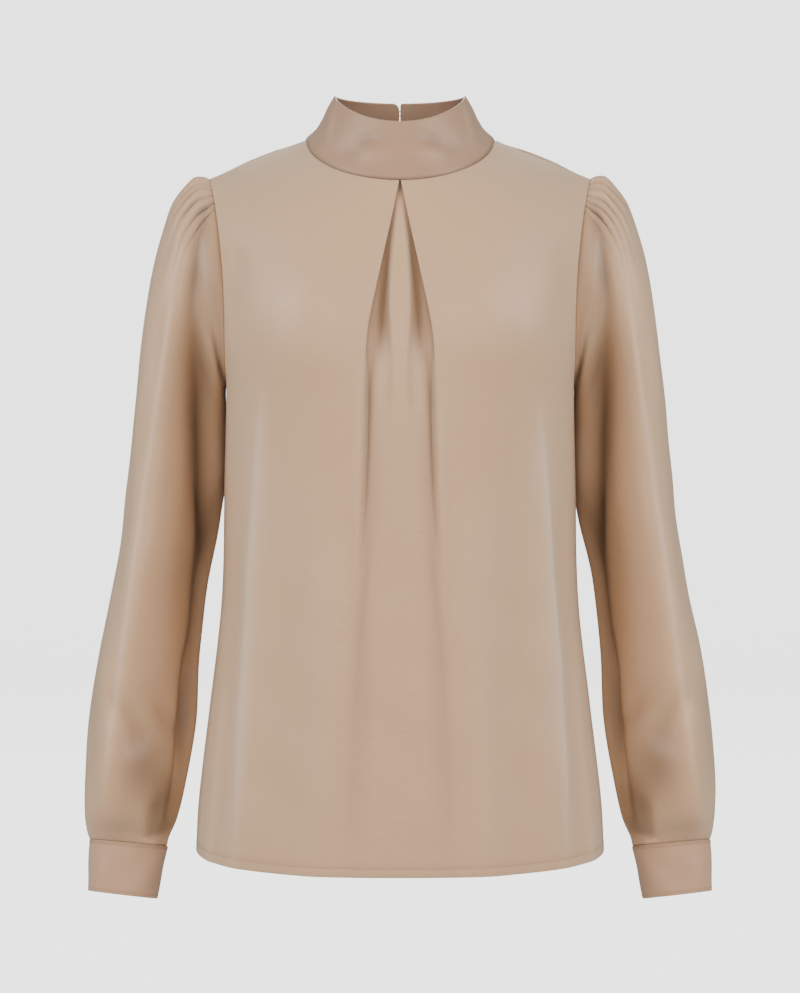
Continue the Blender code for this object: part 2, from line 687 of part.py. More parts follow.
def build_cuff_button(name, hand):
    middle_turn = CUFF_OPENS_AT + CUFF_STEP * CUFF_OVERLAP_COLUMNS * 0.5
    here, outward = surface_frame(
        lambda share, degrees: cuff_point(share, degrees, CUFF_RISE), 0.5, middle_turn
    )
    centre = cuff_point(0.5, middle_turn + 180.0, 0.0)
    outward = outward if np.dot(outward, here - centre) > 0 else -outward
    here = here + outward * (DOUBLED / 2 + SEAM_GAP)
    sign = np.array((hand, 1, 1))
    build_button(name, aim(here * sign, outward * sign))


for old in list(bpy.data.objects):
    bpy.data.objects.remove(old)
garment = bpy.data.collections.new("stand_collar_blouse")
bpy.context.scene.collection.children.link(garment)

build_front()
build_back()
build_collar()
build_collar_closure()
for label, hand in (("left", 1), ("right", -1)):
    build_sleeve(f"sleeve_{label}", hand)
    build_cuff(f"cuff_{label}", hand)
    build_cuff_button(f"cuff_button_{label}", hand)
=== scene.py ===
# Stand-collar blouse in satin-faced crepe, in its worn form with no wearer inside.
# Metres. +X is the wearer's left, +Y the back. "Drop" is the depth below the neck points.
import math

import bmesh
import bpy
import numpy as np
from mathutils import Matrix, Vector


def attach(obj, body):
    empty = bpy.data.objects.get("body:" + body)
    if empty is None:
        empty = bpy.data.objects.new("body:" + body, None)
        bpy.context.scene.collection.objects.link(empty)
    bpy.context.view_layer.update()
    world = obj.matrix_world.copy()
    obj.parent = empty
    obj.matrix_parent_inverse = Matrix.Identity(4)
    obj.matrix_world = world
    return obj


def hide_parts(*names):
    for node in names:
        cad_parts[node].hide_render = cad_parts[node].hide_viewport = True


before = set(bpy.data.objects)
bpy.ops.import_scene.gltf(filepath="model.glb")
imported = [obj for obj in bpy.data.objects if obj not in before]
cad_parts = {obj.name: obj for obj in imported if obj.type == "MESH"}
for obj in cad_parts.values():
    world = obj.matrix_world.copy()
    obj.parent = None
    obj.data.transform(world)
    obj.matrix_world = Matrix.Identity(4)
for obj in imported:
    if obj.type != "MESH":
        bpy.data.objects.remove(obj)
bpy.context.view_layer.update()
print("frame loaded", len(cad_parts), "nodes")


# Sums that every piece uses
def table(columns, *rows):
    values = np.array(rows, float)
    return {name: values[:, i] for i, name in enumerate(columns.split())}


def mix(a, b, share):
    return a + (b - a) * share


def ease(share):
    share = np.clip(share, 0.0, 1.0)
    return share * share * (3.0 - 2.0 * share)


def readRow(rows, name, at):
    # A smooth curve through one column of a table, by the table's first column
    x, y = next(iter(rows.values())), rows[name]
    slope = np.gradient(y, x)
    at = np.clip(np.asarray(at, float), x[0], x[-1])
    i = np.clip(np.searchsorted(x, at) - 1, 0, len(x) - 2)
    width = x[i + 1] - x[i]
    t = (at - x[i]) / width
    start = y[i] * (1 + 2 * t) * (1 - t) ** 2 + slope[i] * width * t * (1 - t) ** 2
    return start + y[i + 1] * t * t * (3 - 2 * t) - slope[i + 1] * width * t * t * (1 - t)


def readRows(rows, at, names=None):
    return (readRow(rows, name, at) for name in names or list(rows)[1:])


def powered(value, power):
    return np.sign(value) * np.abs(value) ** (2.0 / power)


def unit(vectors):
    return vectors / np.maximum(np.linalg.norm(vectors, axis=-1, keepdims=True), 1e-12)


def gridNormals(grid, inside):
    # Directions across a grid, away from the points "inside"
    normals = unit(np.cross(np.gradient(grid, axis=0), np.gradient(grid, axis=1)))
    return normals if np.sum(normals * (grid - inside)) > 0 else -normals


def lengthsAlong(grid, axis):
    # Running length from the first row or column
    steps = np.linalg.norm(np.diff(grid, axis=axis), axis=-1)
    total = np.cumsum(steps, axis=axis)
    return np.insert(total, 0, 0.0, axis=axis)


def lengthsUp(grid):
    # Running length from the last row
    return lengthsAlong(grid[::-1], 0)[::-1]


def lengthsFromSides(grid):
    across = lengthsAlong(grid, 1)
    return np.minimum(across, across[:, -1:] - across)


def foldField(folds, across, drop, hand, unitWidth=1.0):
    # Heights, and the painted shading of each fold: painted shade in the hollows below 0,
    # painted highlight on the ridges above 0. "hand" 0 is a fold of both sides,
    # 1 of the wearer's left alone, -1 of the right alone
    height = np.zeros(np.broadcast(across, drop).shape)
    paintedShading = np.zeros_like(height)
    for side, top, end, bow, dropTop, dropEnd, peak, width, rise, fall in zip(*folds.values()):
        if side * hand < 0:
            continue
        along = (drop - dropTop) / (dropEnd - dropTop)
        middle = mix(top, end, along) + bow * 4.0 * along * (1.0 - along)
        fade = ease(along / rise) * ease((1.0 - along) / fall)
        swell = peak * fade * np.exp(-((across - middle) / width) ** 2)
        height = height + swell
        steep = abs(peak) / (width * unitWidth) ** 2
        # Painted shade in the hollows and painted highlight on the ridges, stronger where the fold is steeper
        paintedShading = paintedShading + swell * steep * (0.45 if swell.min() < 0 else 1.6)
    return height, paintedShading


def undulation(across, along, phase):
    # The slight unevenness of hanging cloth
    waves = ((37.0, 21.0, 0.4), (61.0, -33.0, 1.9), (84.0, 58.0, 3.1), (122.0, -41.0, 5.0),
             (29.0, 74.0, 0.9))
    total = sum(np.sin(across * a + along * b + c + phase + np.sin(along * 17.0 + c)) / (1.0 + a / 60.0)
                for a, b, c in waves)
    return total * 0.00045


def linked(name, data):
    made = bpy.data.objects.new(name, data)
    bpy.context.scene.collection.objects.link(made)
    return made


def newObject(name, mesh, finish):
    mesh.materials.append(finish)
    mesh.shade_smooth()
    return linked(name, mesh)


def faceAreas(grid, quads):
    points = grid.reshape(-1, 3)[quads]
    return np.cross(points[:, 2] - points[:, 0], points[:, 3] - points[:, 1])


def clothGrid(name, grid, finish, inside, thickness=0.0005, uv=None, paintedShading=None):
    # A sheet from rows of points, with its faces turned away from the points "inside"
    rows, cols = grid.shape[:2]
    if uv is None:
        uv = np.stack((lengthsAlong(grid, 1), lengthsAlong(grid, 0)), axis=-1)
    index = np.arange(rows * cols).reshape(rows, cols)
    quads = np.stack((index[:-1, :-1], index[1:, :-1], index[1:, 1:], index[:-1, 1:]), axis=-1)
    quads = quads.reshape(-1, 4)
    away = (grid - inside)[:-1, :-1].reshape(-1, 3)
    if np.sum(faceAreas(grid, quads) * away) < 0:
        quads = quads[:, ::-1]
    mesh = bpy.data.meshes.new(name)
    mesh.from_pydata(grid.reshape(-1, 3).tolist(), [], quads.tolist())
    layer = mesh.uv_layers.new(name="cloth")
    layer.data.foreach_set("uv", uv.reshape(-1, 2)[quads.reshape(-1)].astype(np.float32).ravel())
    # The painted shade and highlight of each point, for the finish to read
    if paintedShading is not None:
        shades = mesh.attributes.new("paintedShading", "FLOAT", "POINT")
        shades.data.foreach_set("value", np.clip(paintedShading, -1.0, 1.0).astype(np.float32).ravel())
    work = bmesh.new()
    work.from_mesh(mesh)
    bmesh.ops.remove_doubles(work, verts=work.verts, dist=0.00001)
    work.to_mesh(mesh)
    work.free()
    made = newObject(name, mesh, finish)
    if thickness:
        wall = made.modifiers.new("cloth", "SOLIDIFY")
        wall.thickness = thickness
        wall.offset = 0.0
    return made


# Finishes
def put(tree, socket, value):
    if isinstance(value, bpy.types.NodeSocket):
        tree.links.new(value, socket)
    else:
        socket.default_value = value


def node(tree, kind, **inputs):
    made = tree.nodes.new(kind)
    for name, value in inputs.items():
        put(tree, made.inputs[name.replace("_", " ")], value)
    return made


def mathNode(tree, operation, *values):
    made = tree.nodes.new("ShaderNodeMath")
    made.operation = operation
    for socket, value in zip(made.inputs, values):
        put(tree, socket, value)
    return made.outputs[0]


def mixedColor(tree, first, second, factor, blend="MIX"):
    made = tree.nodes.new("ShaderNodeMix")
    made.data_type, made.blend_type = "RGBA", blend
    for name, value in (("A", first), ("B", second), ("Factor", factor)):
        put(tree, made.inputs[name], value)
    return made.outputs["Result"]


def buildTwillGroup():
    # Fine diagonal twill with uneven yarns, read from a map in metres
    tree = bpy.data.node_groups.new("fineTwill", "ShaderNodeTree")
    face = tree.interface
    face.new_socket("Vector", in_out="INPUT", socket_type="NodeSocketVector")
    for label, value in (("Yarn pitch", 0.0005), ("Unevenness", 0.5), ("Crinkle size", 0.0022)):
        face.new_socket(label, in_out="INPUT", socket_type="NodeSocketFloat").default_value = value
    for label in ("Height", "Shade"):
        face.new_socket(label, in_out="OUTPUT", socket_type="NodeSocketFloat")
    given, out = tree.nodes.new("NodeGroupInput").outputs, tree.nodes.new("NodeGroupOutput").inputs
    x, y = node(tree, "ShaderNodeSeparateXYZ", Vector=given["Vector"]).outputs[:2]
    turn = mathNode(tree, "DIVIDE", 2.0 * math.pi, given["Yarn pitch"])
    weft = mathNode(tree, "SINE", mathNode(tree, "MULTIPLY", y, turn))
    slant = mathNode(tree, "ADD", x, mathNode(tree, "MULTIPLY", y, 0.5))
    warp = mathNode(tree, "SINE", mathNode(tree, "MULTIPLY", slant, turn))
    weave = mathNode(tree, "MULTIPLY_ADD", weft, 0.35, mathNode(tree, "MULTIPLY", warp, 0.65))
    scale = mathNode(tree, "DIVIDE", 1.0, given["Crinkle size"])
    crinkle = node(tree, "ShaderNodeTexNoise", Vector=given["Vector"], Scale=scale, Detail=4.0, Roughness=0.6)
    stretch = tree.nodes.new("ShaderNodeVectorMath")
    stretch.operation = "MULTIPLY"
    put(tree, stretch.inputs[0], given["Vector"])
    put(tree, stretch.inputs[1], (60.0, 900.0, 1.0))
    slub = node(tree, "ShaderNodeTexNoise", Vector=stretch.outputs[0], Scale=1.0, Detail=2.0)
    fine, coarse = crinkle.outputs["Fac"], slub.outputs["Fac"]
    rough = mathNode(tree, "MULTIPLY", fine, given["Unevenness"])
    put(tree, out["Height"], mathNode(tree, "ADD", mathNode(tree, "MULTIPLY", weave, 0.3), rough))
    shade = mathNode(tree, "MULTIPLY_ADD", coarse, 0.6, mathNode(tree, "MULTIPLY", fine, 0.4))
    put(tree, out["Shade"], shade)
    return tree


twillGroup = buildTwillGroup()

# With the sheen and bump: how dark the painted shade in the hollows goes, the colour of the painted highlight
# on the ridges, and the painted shade colour where the cloth turns away from the eye
clothLook = dict(
    specular=0.42, sheenRoughness=0.35, sheenTint=(1.0, 0.90, 0.80, 1.0), bumpDepth=0.0002, unevenness=0.5,
    paintedShadeLevel=0.30, paintedHighlightColor=(0.78, 0.60, 0.46), greyer=(0.98, 1.12, 1.28), greyerReach=1.6, greyerPower=1.5,
)


def clothFinish(name, light, dark, roughness, sheen, bump, pitch=0.0005, mapped=True):
    s = clothLook
    made = bpy.data.materials.new(name)
    made.use_nodes = True
    tree = made.node_tree
    place = tree.nodes.new("ShaderNodeUVMap" if mapped else "ShaderNodeTexCoord")
    if mapped:
        place.uv_map = "cloth"
    weave = tree.nodes.new("ShaderNodeGroup")
    weave.node_tree = twillGroup
    put(tree, weave.inputs["Vector"], place.outputs["UV" if mapped else "Object"])
    put(tree, weave.inputs["Yarn pitch"], pitch)
    put(tree, weave.inputs["Unevenness"], s["unevenness"])
    color = mixedColor(tree, (*dark, 1.0), (*light, 1.0), weave.outputs["Shade"])
    # Painted shade and highlight: the painted shading stored at each point darkens the hollows and lightens
    # the ridges
    paintedShading = tree.nodes.new("ShaderNodeAttribute")
    paintedShading.attribute_name = "paintedShading"
    for direction, other in ((-1.0, [s["paintedShadeLevel"] * c for c in dark]), (1.0, s["paintedHighlightColor"])):
        share = mathNode(tree, "MAXIMUM", mathNode(tree, "MULTIPLY", paintedShading.outputs["Fac"], direction), 0.0)
        color = mixedColor(tree, color, (*other, 1.0), share)
    # Painted shade colour: the cloth is painted a little greyer where it turns away from the eye
    facing = node(tree, "ShaderNodeLayerWeight", Blend=0.5).outputs["Facing"]
    share = mathNode(tree, "POWER", mathNode(tree, "MULTIPLY", facing, s["greyerReach"]), s["greyerPower"])
    share = mathNode(tree, "MINIMUM", share, 1.0)
    color = mixedColor(tree, color, (*s["greyer"], 1.0), share, "MULTIPLY")
    raised = node(tree, "ShaderNodeBump", Strength=bump, Distance=s["bumpDepth"],
                  Height=weave.outputs["Height"])
    for label, value in (
        ("Base Color", color), ("Normal", raised.outputs[0]), ("Roughness", roughness),
        ("Sheen Weight", sheen), ("Sheen Roughness", s["sheenRoughness"]), ("Sheen Tint", s["sheenTint"]),
        ("Specular IOR Level", s["specular"]),
    ):
        put(tree, tree.nodes["Principled BSDF"].inputs[label], value)
    return made


doubledColors = (0.560, 0.318, 0.184), (0.500, 0.278, 0.158)
crepe = clothFinish("satinCrepe", (0.680, 0.412, 0.236), (0.530, 0.306, 0.166), 0.43, 0.08, 0.24)
doubledCrepe = clothFinish("doubledCrepe", *doubledColors, 0.44, 0.08, 0.22)
coveredFinish = clothFinish("buttonCloth", *doubledColors, 0.40, 0.08, 0.30, mapped=False)
threadFinish = clothFinish("sewingThread", (0.560, 0.330, 0.205), (0.430, 0.240, 0.140), 0.55, 0.10, 0.40,
                           pitch=0.0003, mapped=False)
print("finishes made")


# The body: its sections, armholes and the pleat
bodyShape = dict(
    underarm=0.222, hem=0.6363, dipFront=0.0030, dipBack=0.0040,
    neckHalf=0.0838, neckFront=0.0750, neckBack=0.0600, neckFrontDrop=0.0400, neckBackDrop=0.0120,
    tip=0.1710, tipY=0.0030, tipDrop=0.0350, neckShare=0.45,
    riseBack=0.0070, riseLevel=0.05, riseFade=0.20, riseEnd=0.75,
    bust=0.0550, blade=0.0460, power=2.3, roundPower=2.6, roundStart=0.85,
    rollDepth=0.0010, rollWidth=0.0014, seamPaintedShade=-0.85, softened=60,
    hemDepth=0.0076, hemRadius=0.0006, hemPress=0.0005, hemPressWidth=0.0012, hemPaintedShade=-0.30,
    pucker=0.00022, puckerWidth=0.004, puckerTurn=980.0,
    slitLength=0.110, slitHalf=0.0006, slitSwell=0.0010, slitStitch=0.022,
    upperRows=84, lowerRows=96, sideColumns=68, backColumns=74,
)

bodySections = table(
    "drop   half    front   back",
    (0.222, 0.1545, 0.1300, 0.1040),
    (0.325, 0.1575, 0.1330, 0.1060),
    (0.379, 0.1584, 0.1345, 0.1075),
    (0.415, 0.1602, 0.1355, 0.1090),
    (0.451, 0.1638, 0.1365, 0.1110),
    (0.487, 0.1683, 0.1370, 0.1135),
    (0.523, 0.1728, 0.1375, 0.1160),
    (0.559, 0.1773, 0.1380, 0.1185),
    (0.595, 0.1812, 0.1385, 0.1205),
    (0.6363, 0.1836, 0.1390, 0.1220),
)

armholeFront = table(
    "share x       y        drop",
    (0.00, 0.1710, 0.0030, 0.0350),
    (0.12, 0.1660, -0.0220, 0.0535),
    (0.25, 0.1610, -0.0410, 0.0800),
    (0.40, 0.1565, -0.0530, 0.1170),
    (0.55, 0.1545, -0.0550, 0.1520),
    (0.70, 0.1543, -0.0480, 0.1820),
    (0.85, 0.1545, -0.0300, 0.2080),
    (1.00, 0.1545, 0.0000, 0.2220),
)

armholeBack = table(
    "share x       y       drop",
    (0.00, 0.1710, 0.0030, 0.0350),
    (0.12, 0.1665, 0.0270, 0.0520),
    (0.25, 0.1620, 0.0440, 0.0780),
    (0.40, 0.1580, 0.0540, 0.1140),
    (0.55, 0.1555, 0.0560, 0.1500),
    (0.70, 0.1545, 0.0490, 0.1810),
    (0.85, 0.1545, 0.0310, 0.2080),
    (1.00, 0.1545, 0.0000, 0.2220),
)

# The pleat's folded edge stands "open" from the middle, "overlap" is the cloth behind it,
# and "shade" is how strongly shade is painted on the cloth behind
pleatShape = table(
    "drop   open    overlap turn   radius  recess  strip   shade",
    (0.040, 0.0006, 0.0160, 180.0, 0.0008, 0.0000, 0.0020, 0.85),
    (0.052, 0.0030, 0.0148, 180.0, 0.0008, 0.0010, 0.0024, 0.55),
    (0.080, 0.0088, 0.0120, 180.0, 0.0008, 0.0040, 0.0040, 0.40),
    (0.120, 0.0176, 0.0080, 180.0, 0.0008, 0.0090, 0.0068, 0.36),
    (0.155, 0.0252, 0.0042, 180.0, 0.0009, 0.0120, 0.0078, 0.33),
    (0.175, 0.0288, 0.0018, 165.0, 0.0010, 0.0100, 0.0066, 0.30),
    (0.190, 0.0296, 0.0006, 120.0, 0.0014, 0.0055, 0.0058, 0.28),
    (0.205, 0.0292, 0.0004, 80.0, 0.0022, 0.0022, 0.0060, 0.20),
    (0.240, 0.0284, 0.0004, 55.0, 0.0036, 0.0008, 0.0064, 0.03),
    (0.300, 0.0288, 0.0004, 36.0, 0.0050, 0.0004, 0.0072, 0.00),
    (0.370, 0.0304, 0.0004, 17.0, 0.0090, 0.0000, 0.0076, 0.00),
    (0.450, 0.0328, 0.0004, 7.0, 0.0140, 0.0000, 0.0082, 0.00),
    (0.560, 0.0352, 0.0004, 2.0, 0.0170, 0.0000, 0.0088, 0.00),
    (0.640, 0.0364, 0.0004, 0.5, 0.0170, 0.0000, 0.0090, 0.00),
)

frontFolds = table(
    "hand top     end     bow     dropTop dropEnd height   width   rise  fall",
    (0, 0.0900, 0.0850, 0.0, 0.1000, 0.2900, 0.0060, 0.0450, 0.25, 0.35),
    (0, 0.1150, 0.1500, 0.0, 0.2100, 0.6800, 0.0035, 0.0120, 0.25, 0.35),
    (1, 0.1160, 0.1480, 0.002, 0.2100, 0.6700, 0.0014, 0.0034, 0.15, 0.30),
    (-1, 0.1150, 0.1460, 0.001, 0.2000, 0.6900, 0.0014, 0.0036, 0.12, 0.30),
    (0, 0.0960, 0.1200, 0.0, 0.2500, 0.6800, -0.0030, 0.0200, 0.25, 0.35),
    (0, 0.1380, 0.1640, 0.0, 0.2300, 0.6800, -0.0030, 0.0120, 0.25, 0.35),
    (1, 0.1520, 0.1730, 0.0, 0.4300, 0.6700, 0.0012, 0.0040, 0.35, 0.20),
    (-1, 0.1530, 0.1720, 0.0, 0.4500, 0.6700, 0.0012, 0.0040, 0.35, 0.20),
    (1, 0.0640, 0.0830, 0.0, 0.3000, 0.7200, 0.0030, 0.0150, 0.25, 0.35),
    (-1, 0.0600, 0.0760, 0.0, 0.3200, 0.7200, 0.0030, 0.0160, 0.25, 0.35),
    (0, 0.1460, 0.1440, 0.0, 0.0900, 0.1700, -0.0025, 0.0090, 0.25, 0.35),
    (1, 0.0330, 0.0370, 0.0, 0.1900, 0.5200, 0.0012, 0.0036, 0.15, 0.50),
    (-1, 0.0330, 0.0365, 0.0, 0.1850, 0.5000, 0.0012, 0.0036, 0.15, 0.50),
    (0, 0.0262, 0.0285, 0.0, 0.1900, 0.3200, -0.0026, 0.0042, 0.22, 0.50),
    (1, 0.0270, 0.0370, 0.0, 0.2300, 0.5700, -0.0030, 0.0045, 0.25, 0.35),
    (-1, 0.0272, 0.0360, 0.0, 0.2350, 0.5600, -0.0030, 0.0045, 0.25, 0.35),
)

# Painted soft shade along the front's hollows, with the folds' columns: here the height is how much shade is
# painted
frontShade = table(
    "hand top     end     bow     dropTop dropEnd height   width   rise  fall",
    (0, 0.0258, 0.0252, 0.0, 0.2020, 0.3600, -0.2100, 0.0076, 0.18, 0.45),
    (0, 0.0280, 0.0415, 0.0, 0.2800, 0.6600, -0.1600, 0.0080, 0.20, 0.30),
    (0, 0.0000, 0.0000, 0.0, 0.2100, 0.4200, -0.0500, 0.0300, 0.30, 0.50),
)

backFolds = table(
    "hand top     end     bow     dropTop dropEnd height   width   rise  fall",
    (0, 0.0800, 0.0780, 0.0, 0.0700, 0.2400, 0.0030, 0.0450, 0.25, 0.35),
    (0, 0.1150, 0.1450, 0.0, 0.2300, 0.6900, 0.0045, 0.0160, 0.25, 0.35),
    (0, 0.0850, 0.1050, 0.0, 0.2600, 0.6900, -0.0035, 0.0180, 0.25, 0.35),
    (0, 0.0500, 0.0620, 0.0, 0.2800, 0.7200, 0.0040, 0.0180, 0.25, 0.35),
    (0, 0.0180, 0.0240, 0.0, 0.3000, 0.7200, -0.0030, 0.0160, 0.25, 0.35),
)


# Half of a panel. "u" runs from the middle (0) to the side (1). "level" runs from the neck
# and shoulder (0) over the underarm (1) to the hem (2). "side" is -1 in front, 1 behind.
def bodySection(u, drop, side):
    s = bodyShape
    angle = np.radians(90.0 * u)
    half, depth = readRows(bodySections, drop, ("half", "front" if side < 0 else "back"))
    return half * powered(np.sin(angle), s["power"]), side * depth * powered(np.cos(angle), s["power"])


def neckAndShoulder(u, side):
    s = bodyShape
    depth = s["neckFront"] if side < 0 else s["neckBack"]
    neckDrop = s["neckFrontDrop"] if side < 0 else s["neckBackDrop"]
    angle = np.radians(90.0 * np.clip(u / s["neckShare"], 0.0, 1.0))
    share = (u - s["neckShare"]) / (1.0 - s["neckShare"])
    neck = u <= s["neckShare"]
    x = np.where(neck, s["neckHalf"] * np.sin(angle), mix(s["neckHalf"], s["tip"], share))
    y = np.where(neck, side * depth * np.cos(angle), s["tipY"] * share)
    return x, y, np.where(neck, neckDrop * np.cos(angle), s["tipDrop"] * share)


def chestPoint(u, v, side):
    s = bodyShape
    armhole = armholeFront if side < 0 else armholeBack
    topX, topY, topDrop = neckAndShoulder(u, side)
    lowX, lowY = bodySection(u, np.full_like(u, s["underarm"]), side)
    over = (1.0 - (1.0 - v) ** s["roundPower"]) ** s["roundStart"]
    edgeX = readRow(armhole, "x", v) - mix(s["tip"], armhole["x"][-1], v)
    edgeY = readRow(armhole, "y", v) - mix(s["tipY"], 0.0, over)
    edgeDrop = readRow(armhole, "drop", v) - mix(s["tipDrop"], s["underarm"], v)
    depth = s["neckFront"] if side < 0 else s["neckBack"]
    fullness = s["bust"] if side < 0 else s["blade"]
    lowMiddle = bodySection(np.zeros(1), np.full(1, s["underarm"]), side)[1][0]
    middleY = side * (depth + fullness * np.sin(np.radians(90.0 * v)))
    middleY = middleY - mix(side * depth, lowMiddle, over)
    x = mix(topX, lowX, v) + u * edgeX
    y = mix(topY, lowY, over) + u * edgeY + (1.0 - u) * middleY
    drop = mix(topDrop, s["underarm"], v) + u * edgeDrop
    if side > 0:
        part = v / s["riseLevel"]
        across = ease((u - s["neckShare"]) / s["riseFade"]) * ease((1.0 - u) / (1.0 - s["riseEnd"]))
        drop = drop - s["riseBack"] * part * np.exp(1.0 - part) * across
    return x, y, drop


def panelPoint(u, level, side):
    s = bodyShape
    u, level = np.broadcast_arrays(np.asarray(u, float), np.asarray(level, float))
    upper = chestPoint(u, np.clip(level, 0.0, 1.0), side)
    below = np.clip(level - 1.0, 0.0, 1.0)
    drop = mix(s["underarm"], s["hem"], below)
    lowX, lowY = bodySection(u, drop, side)
    dip = s["dipFront"] if side < 0 else s["dipBack"]
    lowDrop = drop + dip * np.cos(np.radians(90.0 * u)) * below ** 2
    chest = level <= 1.0
    return np.stack((np.where(chest, upper[0], lowX), np.where(chest, upper[1], lowY),
                     -np.where(chest, upper[2], lowDrop)), axis=-1)


def foldedPoint(u, level, side, hand):
    # A point of the half on the wearer's left (hand 1) or right, both given with x above 0
    point = panelPoint(u, level, side)
    folds = frontFolds if side < 0 else backFolds
    out, paintedShading = foldField(folds, point[..., 0], -point[..., 2], hand)
    out = out + undulation(point[..., 0] * hand, point[..., 2], 0.0 if side < 0 else 2.0)
    held = ease((1.0 - u) / 0.15)
    spread = np.radians(90.0 * np.asarray(u, float))
    away = np.stack((np.sin(spread), side * np.cos(spread), np.zeros_like(spread)), axis=-1)
    # Painted shade along the front's hollows
    if side < 0:
        paintedShading = paintedShading + foldField(frontShade, point[..., 0], -point[..., 2], hand)[0]
    return point + away * (out * held)[..., None], paintedShading * held


# The cloth at the pleat's back has a light strip in the middle, without painted shade, and its flanks lie
# deeper.
# The painted shade begins at the strip, fades over the flank and ends at the folded edge; the flap hidden
# behind the edge is painted darker, and near the neck the whole back is painted dark
pleatBack = dict(
    stripEdge=-0.0012, flankEdge=0.0036, flankWidth=0.010, flankShare=0.6, flankEnd=0.230, flankFade=0.050,
    darkWidth=0.0026, upperShare=0.35, upperWidth=0.011, lowerWidth=0.005, lowerFrom=0.160, lowerFade=0.030,
    neckEnd=0.060, neckFade=0.012, hidden=1.6,
)


def pleatPath(drop):
    # From the middle outwards: x, and how far behind the outer layer the cloth lies
    p = pleatBack
    opened, overlap, turn, radius, recess, strip, shade = map(float, readRows(pleatShape, drop))
    turn = math.radians(turn)
    end = opened + radius
    start = end - 2 * radius * math.sin(turn) - overlap * math.cos(turn)
    depth = 2 * radius * (1 - math.cos(turn)) + overlap * math.sin(turn)
    back = depth + recess
    centre = mix(depth, 0.001, float(ease((end - 0.004) / 0.010)))
    bends = np.linspace(0.0, turn, 8)
    near, far = strip + p["stripEdge"], strip + p["flankEdge"]
    crease = strip + np.array((-0.0004, 0.0004, 0.0012, 0.0022))
    flat = mix(far, start, np.linspace(0.0, 1.0, 5)[:-1])
    across = np.concatenate((near * np.linspace(0.0, 1.0, 4), crease, flat))
    flank = ease((across - near) / p["flankWidth"])
    deep = float(ease((p["flankEnd"] - drop) / p["flankFade"])) * p["flankShare"]
    middle = np.stack((across, mix(centre, back, mix((across / start) ** 1.1, flank, deep))), axis=-1)
    inner = np.stack((start + radius * np.sin(bends), back - radius * (1 - np.cos(bends))), axis=-1)
    outer = np.stack((end - radius * np.sin(bends[::-1]), radius * (1 - np.cos(bends[::-1]))), axis=-1)
    share = np.linspace(0.0, 1.0, 7)[1:-1, None]
    path = np.vstack((middle, inner, mix(inner[-1], outer[0], share), outer))
    # Painted shade on the pleat's back and on the hidden flap
    lower = float(ease((drop - p["lowerFrom"]) / p["lowerFade"]))
    fading = mix(p["upperShare"], 1.0, lower)
    fading = fading * ease((across - far) / mix(p["upperWidth"], p["lowerWidth"], lower))
    dark = ease((across - near) / p["darkWidth"]) * (1.0 - fading)
    dark = mix(dark, 1.0, float(ease((p["neckEnd"] - drop) / p["neckFade"])))
    hidden = p["hidden"] * np.concatenate((np.ones(13), np.linspace(1.0, 0.0, 8) ** 2))
    return path, -shade * np.concatenate((dark, hidden))


def edgeShares(count, start, tail=(0.9985, 0.996, 0.992, 0.986, 0.976)):
    # Even columns, with a few close ones at the seam
    even = np.linspace(start, 0.962, count)
    return np.concatenate((even, tail[::-1], (1.0,)))


def frontHalfRow(level, hand):
    shares = np.linspace(0.0, 1.0, 321)
    flat, flatPaintedShading = foldedPoint(shares, np.full_like(shares, level), -1, hand)
    path, pleatPaintedShading = pleatPath(-flat[0, 2])
    pleatPaintedShading = pleatPaintedShading + np.interp(path[:, 0], flat[:, 0], flatPaintedShading)
    y, z = (np.interp(path[:, 0], flat[:, 0], flat[:, k]) for k in (1, 2))
    pleat = np.stack((path[:, 0], y + path[:, 1], z), axis=-1)
    first = np.interp(path[-1, 0], flat[:, 0], shares)
    columns = edgeShares(bodyShape["sideColumns"], 0.0)[1:]
    u = columns + first * (1.0 - columns) ** 4
    outer, paintedShading = foldedPoint(u, np.full_like(u, level), -1, hand)
    row = np.column_stack((np.vstack((pleat, outer)), np.concatenate((pleatPaintedShading, paintedShading))))
    row[:, 0] *= hand
    return row


def backHalfRow(level, hand):
    s = bodyShape
    columns = np.concatenate(((0.0, 0.004, 0.010, 0.018), edgeShares(s["backColumns"], 0.028)))
    row, paintedShading = foldedPoint(columns, np.full_like(columns, level), 1, hand)
    row[:, 0] *= hand
    return np.column_stack((row, paintedShading))


def openSlit(grid, paintedShading):
    # Parts the back's two middle columns, rolls the slit's edges in and paints shade along them
    s, middle = bodyShape, grid.shape[1] // 2
    down = (-grid[:, middle, 2] - s["neckBackDrop"]) / s["slitLength"]
    gap = (s["slitHalf"] + s["slitSwell"] * np.sin(np.pi * np.clip(down, 0.0, 1.0))) * (down < 1.0)
    for k, (near, inward, dark) in enumerate(((1.0, 0.0012, 0.8), (0.87, 0.0002, 0.3), (0.67, 0.0, 0.1))):
        for column, hand in ((middle + k, 1), (middle - 1 - k, -1)):
            grid[:, column, 0] += hand * near * gap
            grid[:, column, 1] -= inward * (down < 1.0)
            paintedShading[:, column] -= dark * (down < 1.0)
    return grid, paintedShading


def panelLevels():
    s = bodyShape
    seam = (0.0, 0.002, 0.005, 0.010, 0.017)
    return np.concatenate((seam, np.linspace(0.026, 1.0, s["upperRows"]),
                           np.linspace(1.0, 2.0, s["lowerRows"] + 1)[1:]))


